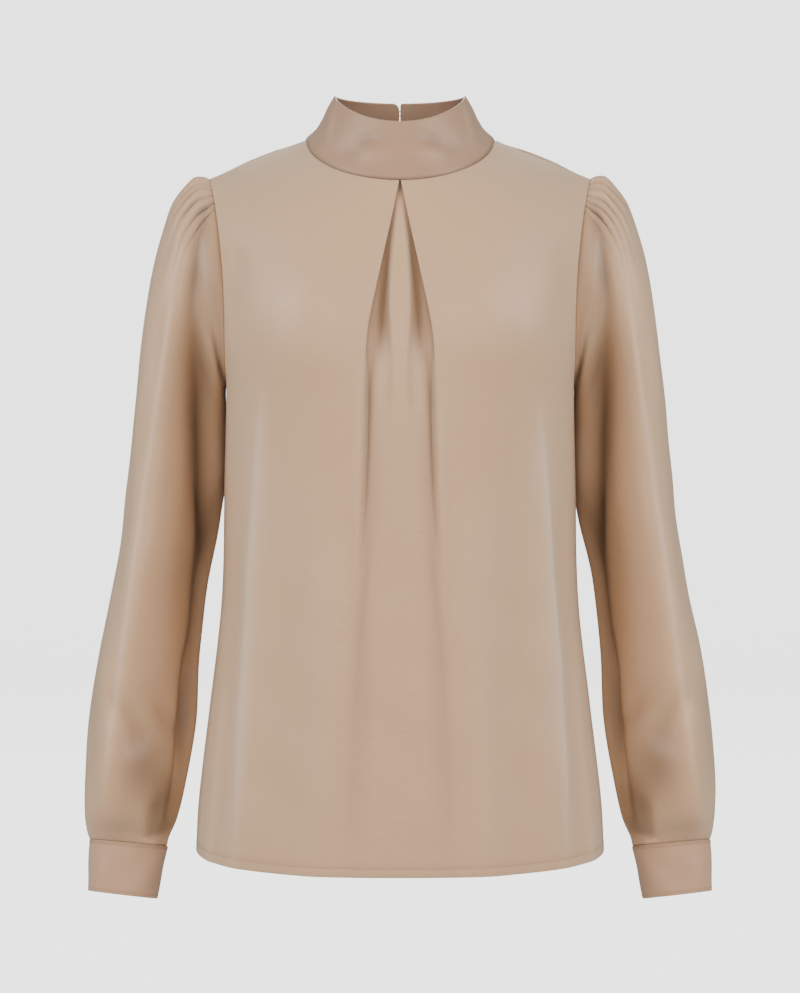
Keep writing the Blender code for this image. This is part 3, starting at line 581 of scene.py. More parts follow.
def softenPanel(grid, levels):
    # Evens the change from the chest to the hanging cloth, and the cloth below the neck's corners,
    # down the columns and then across the rows
    near = np.exp(-((levels - 1.0) / 0.30) ** 2)[:, None] * ease(lengthsFromSides(grid) / 0.03)
    corner = bodyShape["neckHalf"] + 0.02 * levels[:, None] - np.abs(grid[..., 0])
    below = np.exp(-(corner / 0.024) ** 2) * (ease(levels / 0.08) * ease((1.0 - levels) / 0.5))[:, None]
    for _ in range(bodyShape["softened"]):
        for turned, share in ((grid, near), (grid.swapaxes(0, 1), below.T)):
            turned[1:-1] += ((turned[:-2] + turned[2:]) / 2 - turned[1:-1]) * share[1:-1, :, None]
    return grid


def finishPanel(grid, side):
    # Rolls the seams' edges in, presses the hem's stitch line and turns the hem up inside;
    # paints shade along the seams and the pressed line
    s = bodyShape
    grid, paintedShading = softenPanel(grid[..., :3].copy(), panelLevels()), grid[..., 3]
    if side > 0:
        grid, paintedShading = openSlit(grid, paintedShading)
    normals = gridNormals(grid, grid * (0.0, 0.0, 1.0))
    across, fromSide = lengthsAlong(grid, 1), lengthsFromSides(grid)
    roll = s["rollDepth"] * np.exp(-(fromSide / s["rollWidth"]) ** 2)
    level = np.minimum(1.0, lengthsAlong(grid, 0) / 0.004)
    grid = grid - normals * (roll * level)[..., None]
    fromTop = lengthsAlong(grid, 0)
    inward = np.stack((np.zeros_like(fromTop), -grid[..., 1], np.full_like(fromTop, -0.02)), axis=-1)
    grid = grid + unit(inward) * (s["rollDepth"] * np.exp(-(fromTop / s["rollWidth"]) ** 2))[..., None]
    fromStitches = lengthsUp(grid) - s["hemDepth"]
    pressed = np.exp(-(fromStitches / s["hemPressWidth"]) ** 2)
    pucker = s["pucker"] * np.exp(-(fromStitches / s["puckerWidth"]) ** 2)
    pucker = pucker * np.sin(across * s["puckerTurn"] + 1.7 * np.sin(across * 61.0))
    flat = unit(normals * (1.0, 1.0, 0.0))
    grid = grid - flat * (s["hemPress"] * pressed + pucker)[..., None]
    # Painted shade along the seams and the hem's pressed line
    seam = np.exp(-(fromSide / 0.0009) ** 2) + np.exp(-(fromTop / 0.0008) ** 2)
    paintedShading = paintedShading + s["seamPaintedShade"] * seam + s["hemPaintedShade"] * pressed
    paintedShading = np.concatenate((paintedShading, np.repeat(paintedShading[-1:], 10, 0)), axis=0)
    edge, back = grid[-1], -flat[-1]
    radius, turned = s["hemRadius"], []
    for degrees in (35.0, 70.0, 110.0, 145.0, 180.0):
        a = math.radians(degrees)
        turned.append(edge + back * radius * (1 - math.cos(a)) - (0.0, 0.0, radius * math.sin(a)))
    for up in (0.0015, 0.0035, 0.0055, 0.0076, 0.0084):
        turned.append(edge + back * (2 * radius) + (0.0, 0.0, up))
    return np.concatenate((grid, np.array(turned)), axis=0), paintedShading


def buildPanel(name, side, halfRow, shared):
    # "shared" is 1 where both halves hold the middle column
    rows = []
    for level in panelLevels():
        rows.append(np.vstack((halfRow(level, -1)[::-1], halfRow(level, 1)[shared:])))
    grid, paintedShading = finishPanel(np.array(rows), side)
    uv = np.stack((grid[..., 0] * 1.2, grid[..., 2]), axis=-1) if side > 0 else None
    return clothGrid(name, grid, crepe, grid * (0.0, 0.0, 1.0), uv=uv, paintedShading=paintedShading), grid


frontCloth, frontGrid = buildPanel("frontCloth", -1, frontHalfRow, 1)
backCloth, backGrid = buildPanel("backCloth", 1, backHalfRow, 0)
print("body panels made")


# Sleeves. "row" counts the rings from the armhole (0) to the cuff (17), as the maker's rings do
sleeveShape = dict(
    rows=150, columns=((-115.0, 52), (-43.0, 118), (43.0, 52), (115.0, 48), (245.0, 0)),
    power=2.2, last=17.0, girth=0.055, wristTip=10.0, seamDepth=0.0009, tuck=0.0012,
    gathers=13, span=35.0, fan=0.24, valley=0.035, level=0.66, ridgePaintedHighlight=0.12, gatherHeight=2.9,
    gatherPaintedShading=520.0, unevenness=0.09,
    splitAngle=288.0, splitLength=0.058, splitHalf=0.0007, splitSwell=0.0010,
    # Painted shade over the whole sleeve, and more at its head
    paintedShading=-0.07, headPaintedShade=-0.16, headRow=1.5, headReach=2.2,
)

sleeveRings = table(
    "row outer  outerDrop inner innerDrop y     innerY depth   tip   lean gather  armhole",
    (0, 0.1710, 0.0350, 0.1545, 0.2220, 0.0000, 0.000, 0.0510, 0.0, 0.00, 0.0006, 1.00),
    (1, 0.1765, 0.0340, 0.1562, 0.2226, 0.0000, 0.001, 0.0525, 0.0, 0.00, 0.0018, 0.85),
    (2, 0.1842, 0.0353, 0.1566, 0.2234, 0.0000, 0.002, 0.0540, 0.0, 0.00, 0.0022, 0.65),
    (3, 0.1930, 0.0436, 0.1568, 0.2245, 0.0000, 0.004, 0.0550, 0.0, 0.02, 0.0014, 0.45),
    (4, 0.2030, 0.0566, 0.1569, 0.2265, 0.0000, 0.006, 0.0560, 0.0, 0.06, 0.0006, 0.30),
    (5, 0.2104, 0.0764, 0.1570, 0.2295, 0.0000, 0.008, 0.0565, 0.0, 0.12, 0.0002, 0.15),
    (6, 0.2193, 0.1080, 0.1570, 0.2350, -0.0010, 0.012, 0.0570, 0.0, 0.22, 0.0000, 0.05),
    (7, 0.2262, 0.1480, 0.1568, 0.2450, -0.0020, 0.018, 0.0575, 0.0, 0.34, 0.0000, 0.00),
    (8, 0.2335, 0.2080, 0.1563, 0.2640, -0.0030, 0.026, 0.0580, 0.0, 0.46, 0.0000, 0.00),
    (9, 0.2404, 0.2750, 0.1562, 0.2980, -0.0040, 0.030, 0.0580, 0.0, 0.54, 0.0000, 0.00),
    (10, 0.2480, 0.3430, 0.1630, 0.3430, -0.0060, 0.028, 0.0575, 0.0, 0.58, 0.0000, 0.00),
    (11, 0.2572, 0.4000, 0.1745, 0.4000, -0.0080, 0.020, 0.0570, 0.0, 0.58, 0.0000, 0.00),
    (12, 0.2696, 0.4600, 0.1804, 0.4600, -0.0110, 0.010, 0.0560, 0.0, 0.56, 0.0000, 0.00),
    (13, 0.2780, 0.5180, 0.1826, 0.5180, -0.0150, 0.003, 0.0540, 2.0, 0.54, 0.0000, 0.00),
    (14, 0.2812, 0.5680, 0.1908, 0.5700, -0.0210, 0.000, 0.0490, 5.0, 0.50, 0.0000, 0.00),
    (15, 0.2810, 0.6000, 0.1984, 0.6040, -0.0250, 0.000, 0.0400, 8.0, 0.38, 0.0000, 0.00),
    (16, 0.2790, 0.6170, 0.2064, 0.6225, -0.0272, 0.000, 0.0260, 10.0, 0.18, 0.0000, 0.00),
    (17, 0.2766, 0.6250, 0.2084, 0.6312, -0.0280, 0.000, 0.0195, 10.0, 0.00, 0.0000, 0.00),
)

# Folds that turn with the sleeve: angles run from the outer edge (0) over the front (90)
sleeveTurnFolds = table(
    "hand top     end     bow   dropTop dropEnd height   width  rise  fall",
    (0, 38.0, 62.0, 0.0, 0.0900, 0.6400, 0.0030, 15.0, 0.25, 0.25),
    (0, 150.0, 152.0, 0.0, 0.4300, 0.6500, -0.0050, 14.0, 0.25, 0.25),
    (0, 105.0, 85.0, 0.0, 0.4700, 0.5500, -0.0040, 18.0, 0.25, 0.25),
    (0, 290.0, 240.0, 0.0, 0.0600, 0.5200, -0.0050, 17.0, 0.25, 0.25),
    (0, 325.0, 300.0, 0.0, 0.1000, 0.6400, 0.0030, 15.0, 0.25, 0.25),
    (0, 215.0, 210.0, 0.0, 0.4500, 0.6500, -0.0040, 16.0, 0.25, 0.25),
)

# Folds of the sleeve's front face, by distance from the middle of the body
sleeveFrontFolds = table(
    "hand top     end     bow     dropTop dropEnd height   width   rise  fall",
    (0, 0.1700, 0.1830, 0.0020, 0.0520, 0.1750, -0.0060, 0.0064, 0.10, 0.45),
    (0, 0.1755, 0.1675, 0.0070, 0.0600, 0.3900, -0.0094, 0.0100, 0.60, 0.22),
    (0, 0.1660, 0.1660, 0.0000, 0.2000, 0.4100, 0.0032, 0.0070, 0.35, 0.45),
    (1, 0.1655, 0.1560, 0.0000, 0.1600, 0.2250, -0.0030, 0.0026, 0.60, 0.25),
    (-1, 0.1665, 0.1565, 0.0000, 0.1560, 0.2220, -0.0030, 0.0026, 0.60, 0.25),
    (0, 0.1600, 0.1560, 0.0000, 0.1900, 0.2400, -0.0020, 0.0022, 0.50, 0.40),
    (0, 0.1660, 0.1920, 0.0000, 0.2900, 0.6300, -0.0098, 0.0112, 0.30, 0.38),
    (1, 0.1926, 0.2660, 0.0000, 0.0900, 0.6200, 0.0015, 0.0034, 0.20, 0.20),
    (-1, 0.1916, 0.2660, 0.0010, 0.0900, 0.6200, 0.0015, 0.0034, 0.20, 0.20),
    (0, 0.2060, 0.2600, 0.0020, 0.1200, 0.5000, -0.0016, 0.0060, 0.30, 0.30),
    (0, 0.2160, 0.2680, 0.0050, 0.1100, 0.4400, 0.0010, 0.0040, 0.30, 0.40),
    (1, 0.2560, 0.2260, 0.0000, 0.4750, 0.5450, -0.0055, 0.0090, 0.45, 0.45),
    (-1, 0.2560, 0.2260, 0.0000, 0.4800, 0.5500, -0.0055, 0.0090, 0.45, 0.45),
    (1, 0.2200, 0.1960, 0.0000, 0.4850, 0.5350, -0.0050, 0.0080, 0.45, 0.45),
    (-1, 0.2200, 0.1960, 0.0000, 0.4900, 0.5400, -0.0050, 0.0080, 0.45, 0.45),
    (0, 0.2140, 0.2190, 0.0000, 0.5750, 0.6250, -0.0060, 0.0080, 0.45, 0.15),
    (0, 0.1830, 0.2040, -0.0040, 0.4400, 0.6200, 0.0010, 0.0025, 0.20, 0.15),
)


# Painted soft shade on the sleeve's front, with the folds' columns: here the height is how much shade is
# painted
sleeveShade = table(
    "hand top     end     bow     dropTop dropEnd height   width   rise  fall",
    (0, 0.1765, 0.1690, 0.0070, 0.1100, 0.4000, -0.4200, 0.0085, 0.60, 0.25),
    (0, 0.1655, 0.1895, 0.0000, 0.2900, 0.6000, -0.1900, 0.0090, 0.30, 0.30),
    (0, 0.1700, 0.1920, 0.0000, 0.2900, 0.5800, -0.2400, 0.0085, 0.25, 0.20),
    (0, 0.1650, 0.1650, 0.0000, 0.0900, 0.3000, -0.0600, 0.0140, 0.30, 0.30),
    (0, 0.1800, 0.1800, 0.0000, 0.0700, 0.1500, -0.1300, 0.0060, 0.35, 0.35),
    (0, 0.2270, 0.2270, 0.0000, 0.5050, 0.6050, -0.5400, 0.0200, 0.45, 0.50),
    (0, 0.2050, 0.2020, 0.0000, 0.5500, 0.6260, -0.6200, 0.0140, 0.50, 0.15),
    (0, 0.2680, 0.2740, 0.0000, 0.4600, 0.5900, -0.1200, 0.0090, 0.30, 0.40),
)


def armholeEdge(degrees):
    share = np.minimum(degrees, 360.0 - degrees) / 180.0
    front = panelPoint(np.ones_like(share), share, -1)
    back = panelPoint(np.ones_like(share), share, 1)
    return np.where((degrees <= 180.0)[..., None], front, back)


def ringPoint(degrees, row, power, rings=sleeveRings):
    angle = np.radians(degrees)
    c, s = powered(np.cos(angle), power), powered(np.sin(angle), power)
    outer, outerDrop, inner, innerDrop, y, depth = readRows(
        rings, row, ("outer", "outerDrop", "inner", "innerDrop", "y", "depth"))
    tip = readRow(rings, "tip", row) if "tip" in rings else np.full_like(row, sleeveShape["wristTip"])
    tip = np.radians(tip)
    zero = np.zeros_like(outer)
    middle = np.stack(((outer + inner) / 2, y, -(outerDrop + innerDrop) / 2), axis=-1)
    across = np.stack(((outer - inner) / 2, zero, -(outerDrop - innerDrop) / 2), axis=-1)
    forward = np.stack((zero, -np.cos(tip) * depth, np.sin(tip) * depth), axis=-1)
    if "lean" in rings:
        # The front face falls back towards the body, and the inner edge lies behind its side
        lean, innerY = readRows(rings, row, ("lean", "innerY"))
        s = np.where(s > 0, s * (1.0 - lean * ease((0.38 - c) / 1.15)), s)
        middle = middle + np.stack((zero, innerY * ((1 - c) / 2) ** 2, zero), axis=-1)
    return middle + across * c[..., None] + forward * s[..., None], middle


def gatherWave(signed, row, hand):
    # Rounded ridges with tight valleys that fan out down the sleeve, each of its own depth and length,
    # with painted shade in the valleys and a little painted highlight on the ridges
    s = sleeveShape
    fan = s["span"] * (1.0 + s["fan"] * row)
    start = signed / fan * s["span"]
    phase = start / s["span"] * s["gathers"] / 2 + 0.20 * np.sin(start * 0.21 + 1.3 * hand) + 0.11 * hand
    own = 0.5 + 0.5 * np.sin(np.floor(phase + 0.5) * 2.4 + 0.9 * hand)
    ridge = np.sqrt(np.cos(np.pi * phase) ** 2 + s["valley"]) - s["level"]
    strength = readRow(sleeveRings, "gather", row) * (0.7 + 0.6 * own)
    strength = strength * np.exp(-np.clip(row - 3.0, 0.0, None) * 0.22 * (1.0 - own))
    strength = strength * ease((fan - np.abs(signed)) / (0.16 * fan))
    paintedShading = np.clip(ridge, -1.0, s["ridgePaintedHighlight"]) * strength * s["gatherPaintedShading"]
    return strength * ridge * s["gatherHeight"], paintedShading


def sleeveColumns():
    # Angles once round, from one side of the placket slit to the other
    s = sleeveShape
    parts = [np.linspace(a[0], b[0], a[1], endpoint=False) for a, b in zip(s["columns"], s["columns"][1:])]
    columns = np.sort(np.concatenate(parts) % 360.0)
    start = int(np.argmin(np.abs(columns - s["splitAngle"])))
    columns[start] = s["splitAngle"]
    return np.concatenate((columns[start:] - 360.0, columns[:start + 1]))


def sleeveRelief(point, turned, row, hand):
    # The height and painted shading of the folds and the unevenness, without the gathers
    drop = -point[..., 2]
    out, paintedShading = np.zeros_like(row), np.zeros_like(row)
    for shift in (-360.0, 0.0, 360.0):
        more = foldField(sleeveTurnFolds, turned + shift, drop, hand, math.radians(sleeveShape["girth"]))
        out, paintedShading = out + more[0], paintedShading + more[1]
    facing = ease(np.sin(np.radians(turned)) * 2.5)
    more = foldField(sleeveFrontFolds, point[..., 0], drop, hand)
    shade = foldField(sleeveShade, point[..., 0], drop, hand)[0]
    out, paintedShading = out + more[0] * facing, paintedShading + (more[1] + shade) * facing
    across = sleeveShape["unevenness"] * np.sin(np.radians(turned - 40.0))
    return out + undulation(across, drop, 4.0 + hand), paintedShading


def sleeveGrid(hand):
    s = sleeveShape
    share = np.linspace(0.0, 1.0, s["rows"])
    degrees, row = np.meshgrid(sleeveColumns(), s["last"] * (0.45 * share + 0.55 * share ** 2))
    turned = degrees % 360.0
    point, middle = ringPoint(turned, row, s["power"])
    plainRing = ringPoint(turned, np.zeros_like(row), s["power"])[0]
    hold = readRow(sleeveRings, "armhole", row)
    point = point + hold[..., None] * (armholeEdge(turned) - plainRing)
    out, paintedShading = sleeveRelief(point, turned, row, hand)
    gathered = gatherWave(np.where(turned > 180.0, turned - 360.0, turned), row, hand)
    out, paintedShading = out * (1.0 - hold) + gathered[0], paintedShading + gathered[1]
    near = np.exp(-(row / 0.16) ** 2)
    away = unit(point - middle)
    point = point + away * (out - s["seamDepth"] * near)[..., None]
    point[..., 0] -= s["tuck"] * near
    wrist = np.exp(-((s["last"] - row) / 0.10) ** 2)
    point = point - away * (s["seamDepth"] * wrist)[..., None]
    lengths = lengthsAlong(point, 0)
    fromCuff = lengths[-1:] - lengths
    opening = s["splitSwell"] * np.sin(np.pi * np.clip(fromCuff / s["splitLength"], 0.0, 1.0))
    opening = np.where(fromCuff < s["splitLength"], s["splitHalf"] + opening, 0.0)
    first, last = unit(point[:, 1] - point[:, 0]), unit(point[:, -2] - point[:, -1])
    point[:, 0] += first * opening[:, :1] - away[:, 0] * (opening[:, :1] * 0.5)
    point[:, -1] += last * opening[:, -1:] - away[:, -1] * (opening[:, -1:] * 0.5)
    # Painted shade over the whole sleeve, more at its head, and along the armhole and cuff seams
    head = s["headPaintedShade"] * np.exp(-((row - s["headRow"]) / s["headReach"]) ** 2)
    seams = 0.6 * np.exp(-(lengths / 0.0009) ** 2) + 0.3 * np.exp(-(fromCuff / 0.0010) ** 2)
    return point * (hand, 1, 1), middle * (hand, 1, 1), degrees, lengths, paintedShading + s["paintedShading"] + head - seams


def buildSleeve(name, hand):
    grid, middle, degrees, lengths, paintedShading = sleeveGrid(hand)
    uv = np.stack((np.radians(degrees) * sleeveShape["girth"], lengths), axis=-1)
    return clothGrid(name, grid, crepe, middle, uv=uv, paintedShading=paintedShading)


sleeveLeft = buildSleeve("sleeveLeftCloth", 1)
sleeveRight = buildSleeve("sleeveRightCloth", -1)
print("sleeves made")


# Collar and cuffs: doubled cloth with a turned edge, from the line between its two layers
def doubledBand(name, pointAt, shares, along, thickness, finish, inside, layerPaintedShade=(-0.05, -0.3),
               paintedShadingAt=lambda share, across: 0.0 * share):
    shares, along = np.asarray(shares, float), np.asarray(along, float)
    turns = np.radians((22.0, 45.0, 68.0, 90.0, 112.0, 135.0, 158.0))
    share, across = np.meshgrid(shares, along, indexing="ij")
    line = pointAt(share, across)
    normals = gridNormals(line, inside(line))
    half = thickness / 2
    top, foot = unit(line[-1] - line[-2]), unit(line[0] - line[1])
    profile = [(line[i], normals[i] * half) for i in range(len(shares))]
    profile += [(line[-1], (normals[-1] * math.cos(a) + top * math.sin(a)) * half) for a in turns]
    profile += [(line[i], -normals[i] * half) for i in range(len(shares) - 1, -1, -1)]
    profile += [(line[0], (-normals[0] * math.cos(a) + foot * math.sin(a)) * half) for a in turns]
    profile.append(profile[0])
    grid = np.array([base + off for base, off in profile])
    spine = np.array([base for base, off in profile])
    ends = []
    for edge, beside, angles in ((0, 1, (90.0, 68.0, 45.0, 22.0)), (-1, -2, (22.0, 45.0, 68.0, 90.0))):
        base, rim = spine[:, edge], grid[:, edge]
        out = unit(base - spine[:, beside]) * half
        ends.append([base + (rim - base) * math.cos(a) + out * math.sin(a) for a in np.radians(angles)])
    grid = np.concatenate((np.stack(ends[0], 1), grid, np.stack(ends[1], 1)), axis=1)
    spine = np.concatenate((np.repeat(spine[:, :1], 4, 1), spine, np.repeat(spine[:, -1:], 4, 1)), 1)
    # Painted shade: the inner layer darker than the outer, both darker still at the foot's seam
    layers = np.repeat(layerPaintedShade, (len(shares) + len(turns), len(grid) - len(shares) - len(turns)))
    foot = np.exp(-(np.concatenate((shares, np.full(len(grid) - len(shares), 1.0))) / 0.03) ** 2)
    paintedShading = np.repeat((layers - 0.35 * foot)[:, None], grid.shape[1], 1)
    paintedShading[:len(shares), 4:-4] += paintedShadingAt(share, across)
    return clothGrid(name, grid, finish, spine, thickness=0.0, paintedShading=paintedShading)


collarShape = dict(
    thickness=0.0019, slit=1.4, lower=0.0002, edgePower=1.3, corner=0.006, plainCorner=0.0012, height=0.048,
    girth=0.055, seamDepth=0.0007, layerPaintedShade=(-0.31, -0.76), dentPaintedShading=90.0, columns=190, rows=26,
)

collarRings = table(
    "share half    front   back    sideZ   frontZ   backZ",
    (0.00, 0.0838, 0.0750, 0.0600, 0.0000, -0.0400, -0.0120),
    (0.15, 0.0750, 0.0722, 0.0588, 0.0075, -0.0325, -0.0050),
    (0.33, 0.0698, 0.0690, 0.0578, 0.0150, -0.0235, 0.0035),
    (0.65, 0.0643, 0.0640, 0.0562, 0.0265, -0.0070, 0.0190),
    (1.00, 0.0580, 0.0600, 0.0550, 0.0373, 0.0100, 0.0350),
)

# Soft dents of the collar: by degrees round it and share of its height
collarDents = table(
    "at     share  height   wide  tall  slant",
    (-26.0, 0.62, -0.0018, 9.0, 0.15, 40.0),
    (27.0, 0.60, -0.0018, 9.0, 0.15, -40.0),
    (-17.0, 0.40, 0.0012, 11.0, 0.14, 26.0),
    (19.0, 0.42, 0.0012, 11.0, 0.14, -28.0),
    (-38.0, 0.33, -0.0012, 9.0, 0.14, 20.0),
    (42.0, 0.35, -0.0010, 9.0, 0.14, -20.0),
    (-66.0, 0.55, 0.0014, 5.0, 0.42, -10.0),
    (66.0, 0.55, 0.0014, 5.0, 0.42, 10.0),
    (-50.0, 0.35, 0.0008, 12.0, 0.30, 10.0),
    (52.0, 0.35, 0.0007, 12.0, 0.30, -10.0),
    (130.0, 0.45, -0.0010, 10.0, 0.35, 12.0),
    (-136.0, 0.50, -0.0010, 11.0, 0.35, -10.0),
)


def collarPoint(share, degrees):
    # 0 degrees is the middle of the front, 90 the wearer's left
    half, front, back, sideZ, frontZ, backZ = readRows(collarRings, share)
    angle = np.radians(degrees)
    toward = np.cos(angle)
    y = np.where(toward > 0, -front * toward, -back * toward)
    endZ = np.where(toward > 0, frontZ, backZ)
    power = mix(1.0, collarShape["edgePower"], share)
    return np.stack((half * np.sin(angle), y, mix(sideZ, endZ, np.abs(toward) ** power)), axis=-1)


def dentField(share, degrees):
    out = np.zeros_like(share)
    for at, middle, height, wide, tall, slant in zip(*collarDents.values()):
        spot = ((degrees - at - slant * (share - middle)) / wide) ** 2 + ((share - middle) / tall) ** 2
        out = out + height * np.exp(-spot)
    return out


def dentedCollarPoint(share, degrees):
    s = collarShape
    end = 180.0 - s["slit"] / 2
    radius = np.where(degrees < 0, s["corner"], s["plainCorner"])
    toEnd = np.clip(np.radians(end - np.abs(degrees)) * s["girth"], 0.0, None)
    cut = np.where(toEnd < radius, radius - np.sqrt(np.clip(radius**2 - (radius - toEnd) ** 2, 0, None)), 0.0)
    share = share * (1.0 - cut / s["height"])
    point = collarPoint(share, degrees)
    out = dentField(share, degrees) * ease(share * 6.0) - s["seamDepth"] * np.exp(-(share / 0.03) ** 2)
    point = point + unit(point * (1.0, 1.0, 0.0)) * out[..., None]
    point[..., 2] += s["lower"]
    return point


def buildCollar():
    s = collarShape
    end = 180.0 - s["slit"] / 2
    inner = np.linspace(-end + 6.0, end - 6.0, s["columns"])
    close = np.linspace(0.0, 6.0, 14)[1:-1]
    along = np.concatenate(((-end,), -end + close, inner, end - close[::-1], (end,)))
    shares = np.concatenate(((0.0, 0.008, 0.02, 0.04), np.linspace(0.07, 0.975, s["rows"]), (1.0,)))
    # The collar's dents are painted with shade and its swells with highlight, and its inner layer is painted
    # darker than its outer
    return doubledBand("collarCloth", dentedCollarPoint, shares, along, s["thickness"], doubledCrepe,
                       lambda line: line * (0.0, 0.0, 1.0), layerPaintedShade=s["layerPaintedShade"],
                       paintedShadingAt=lambda share, across: dentField(share, across) * s["dentPaintedShading"])


cuffShape = dict(
    thickness=0.0019, opensAt=282.0, overlap=36.0, ramp=24.0, rise=0.0025, lower=0.0006,
    wave=0.0005, columns=150, rows=18, power=2.2,
)

cuffRings = table(
    "share outer   outerDrop inner innerDrop y       depth",
    (0.0, 0.2766, 0.6250, 0.2084, 0.6312, -0.0280, 0.0195),
    (0.5, 0.2771, 0.6466, 0.2129, 0.6533, -0.0318, 0.0192),
    (1.0, 0.2774, 0.6683, 0.2172, 0.6754, -0.0356, 0.0188),
)


def cuffPoint(share, degrees, lift):
    s = cuffShape
    point, middle = ringPoint(degrees, share, s["power"], cuffRings)
    ahead = ringPoint(degrees + 1.0, share, s["power"], cuffRings)[0]
    tip = math.radians(sleeveShape["wristTip"])
    outer, outerDrop, inner, innerDrop = list(readRows(cuffRings, share))[:4]
    across = np.stack((outer - inner, np.zeros_like(outer), innerDrop - outerDrop), axis=-1)
    axis = np.cross(across, (0.0, -math.cos(tip), math.sin(tip)))
    away = unit(np.cross(ahead - point, axis))
    away = np.where(np.sum(away * (point - middle), axis=-1, keepdims=True) > 0, away, -away)
    wave = s["wave"] * np.sin(np.radians(degrees) * 5.0 + 4.0 * share) * np.sin(np.pi * share)
    return point + away * (lift + wave)[..., None]


def loweredCuffPoint(share, turn, lift, hand):
    # "turn" runs from the cuff's lower end, and its last part lies over that end
    s = cuffShape
    over = s["rise"] * ease((turn - 360.0 + s["ramp"]) / s["ramp"])
    point = cuffPoint(share, s["opensAt"] + turn, over + lift) - (0.0, 0.0, s["lower"])
    return point * (hand, 1, 1)


def buildCuff(name, hand):
    s = cuffShape
    middle = ringPoint(np.zeros(1), np.full(1, 0.5), s["power"], cuffRings)[1][0] * (hand, 1, 1)
    shares = np.concatenate(((0.0, 0.01, 0.03), np.linspace(0.07, 0.97, s["rows"]), (1.0,)))
    along = np.linspace(0.0, 360.0 + s["overlap"], s["columns"])
    return doubledBand(name, lambda share, turn: loweredCuffPoint(share, turn, 0.0, hand), shares, along,
                       s["thickness"], doubledCrepe, lambda line: middle)


collarCloth = buildCollar()
cuffLeft = buildCuff("cuffLeftCloth", 1)
cuffRight = buildCuff("cuffRightCloth", -1)
print("collar and cuffs made")


# Buttons and their loops
fastenerShape = dict(
    radius=0.0045, height=0.0028, shank=0.0012, shankHeight=0.0018, turns=44, drawn=0.00012, puckers=14.0,
    loop=0.0010, reach=0.0095, strand=0.00029, apart=0.00022, twist=0.0021,
    lift=0.00125, collarRadius=0.055, collarAngle=174.0, collarLift=0.0008,
    collarButtons=(("upper", 0.80), ("lower", 0.42)),
)


def outwardPlace(here, along, down, toward):
    # A place with its outward direction, and the two directions across it
    outward = unit(np.cross(down - here, along - here))
    outward = outward if np.dot(outward, toward) > 0 else -outward
    across = unit(np.cross((0.0, 0.0, 1.0), outward))
    columns = np.column_stack((across, np.cross(outward, across), outward))
    return here + outward * fastenerShape["lift"], columns


def collarPlace(share):
    s = fastenerShape
    here, along, down = (collarPoint(np.float64(a), np.float64(b)) + (0, 0, s["collarLift"]) for a, b in (
        (share, s["collarAngle"]), (share, s["collarAngle"] + 0.01), (share + 0.01, s["collarAngle"])))
    return outwardPlace(here, along, down, (0.0, 1.0, 0.0))


def cuffPlace(hand):
    s = cuffShape
    turn = s["opensAt"] + s["overlap"] / 2
    here, along, down = (cuffPoint(np.float64(a), np.float64(b), s["rise"]) for a, b in (
        (0.5, turn), (0.5, turn + 0.01), (0.51, turn)))
    middle = cuffPoint(np.float64(0.5), np.float64(turn + 180.0), 0.0)
    sign = np.array((hand, 1.0, 1.0))
    return outwardPlace(here * sign, along * sign, down * sign, (here - middle) * sign)


def buildButton(name, place):
    # A dome covered in cloth that is drawn in under its rim, on a thread shank
    s, (origin, columns) = fastenerShape, place
    radius, shank, foot = s["radius"], s["shank"], s["shankHeight"]
    profile = [(radius * math.sin(a), foot + s["height"] * (0.35 + 0.65 * math.cos(a)))
               for a in np.radians(np.linspace(0.0, 90.0, 14))]
    profile += [(radius * 1.01, foot + 0.0007), (radius * 0.98, foot + 0.0003), (radius * 0.90, foot),
                (radius * 0.6, foot + 0.0001), (shank * 1.1, foot), (shank, foot - 0.0005),
                (shank * 1.05, 0.0), (0.0, 0.0)]
    angles = np.linspace(0.0, 2.0 * math.pi, s["turns"] + 1)
    grid = np.zeros((len(profile), len(angles), 3))
    for i, (ring, height) in enumerate(profile):
        drawn = s["drawn"] * math.exp(-((height - foot - 0.0004) / 0.0006) ** 2) if i > 8 else 0.0
        ring = ring + drawn * np.cos(angles * s["puckers"])
        grid[i] = np.stack((ring * np.cos(angles), ring * np.sin(angles), np.full_like(angles, height)), -1)
    grid[:, -1] = grid[:, 0]
    inside = origin + columns @ (0.0, 0.0, foot + 0.0008)
    return clothGrid(name, grid @ columns.T + origin, coveredFinish, inside, thickness=0.0)


def tubeGrid(path, radius, sides):
    # Rings of points round a path, closed at both ends
    tangents = unit(np.gradient(path, axis=0))
    side = unit(np.cross(tangents, (0.13, 0.21, 0.97)))
    up = np.cross(tangents, side)
    angles = np.linspace(0.0, 2.0 * math.pi, sides + 1)
    radii = np.full(len(path), radius)
    radii[0] = radii[-1] = 0.0
    ring = side[:, None] * np.cos(angles)[None, :, None] + up[:, None] * np.sin(angles)[None, :, None]
    grid = path[:, None] + ring * radii[:, None, None]
    grid[:, -1] = grid[:, 0]
    return grid


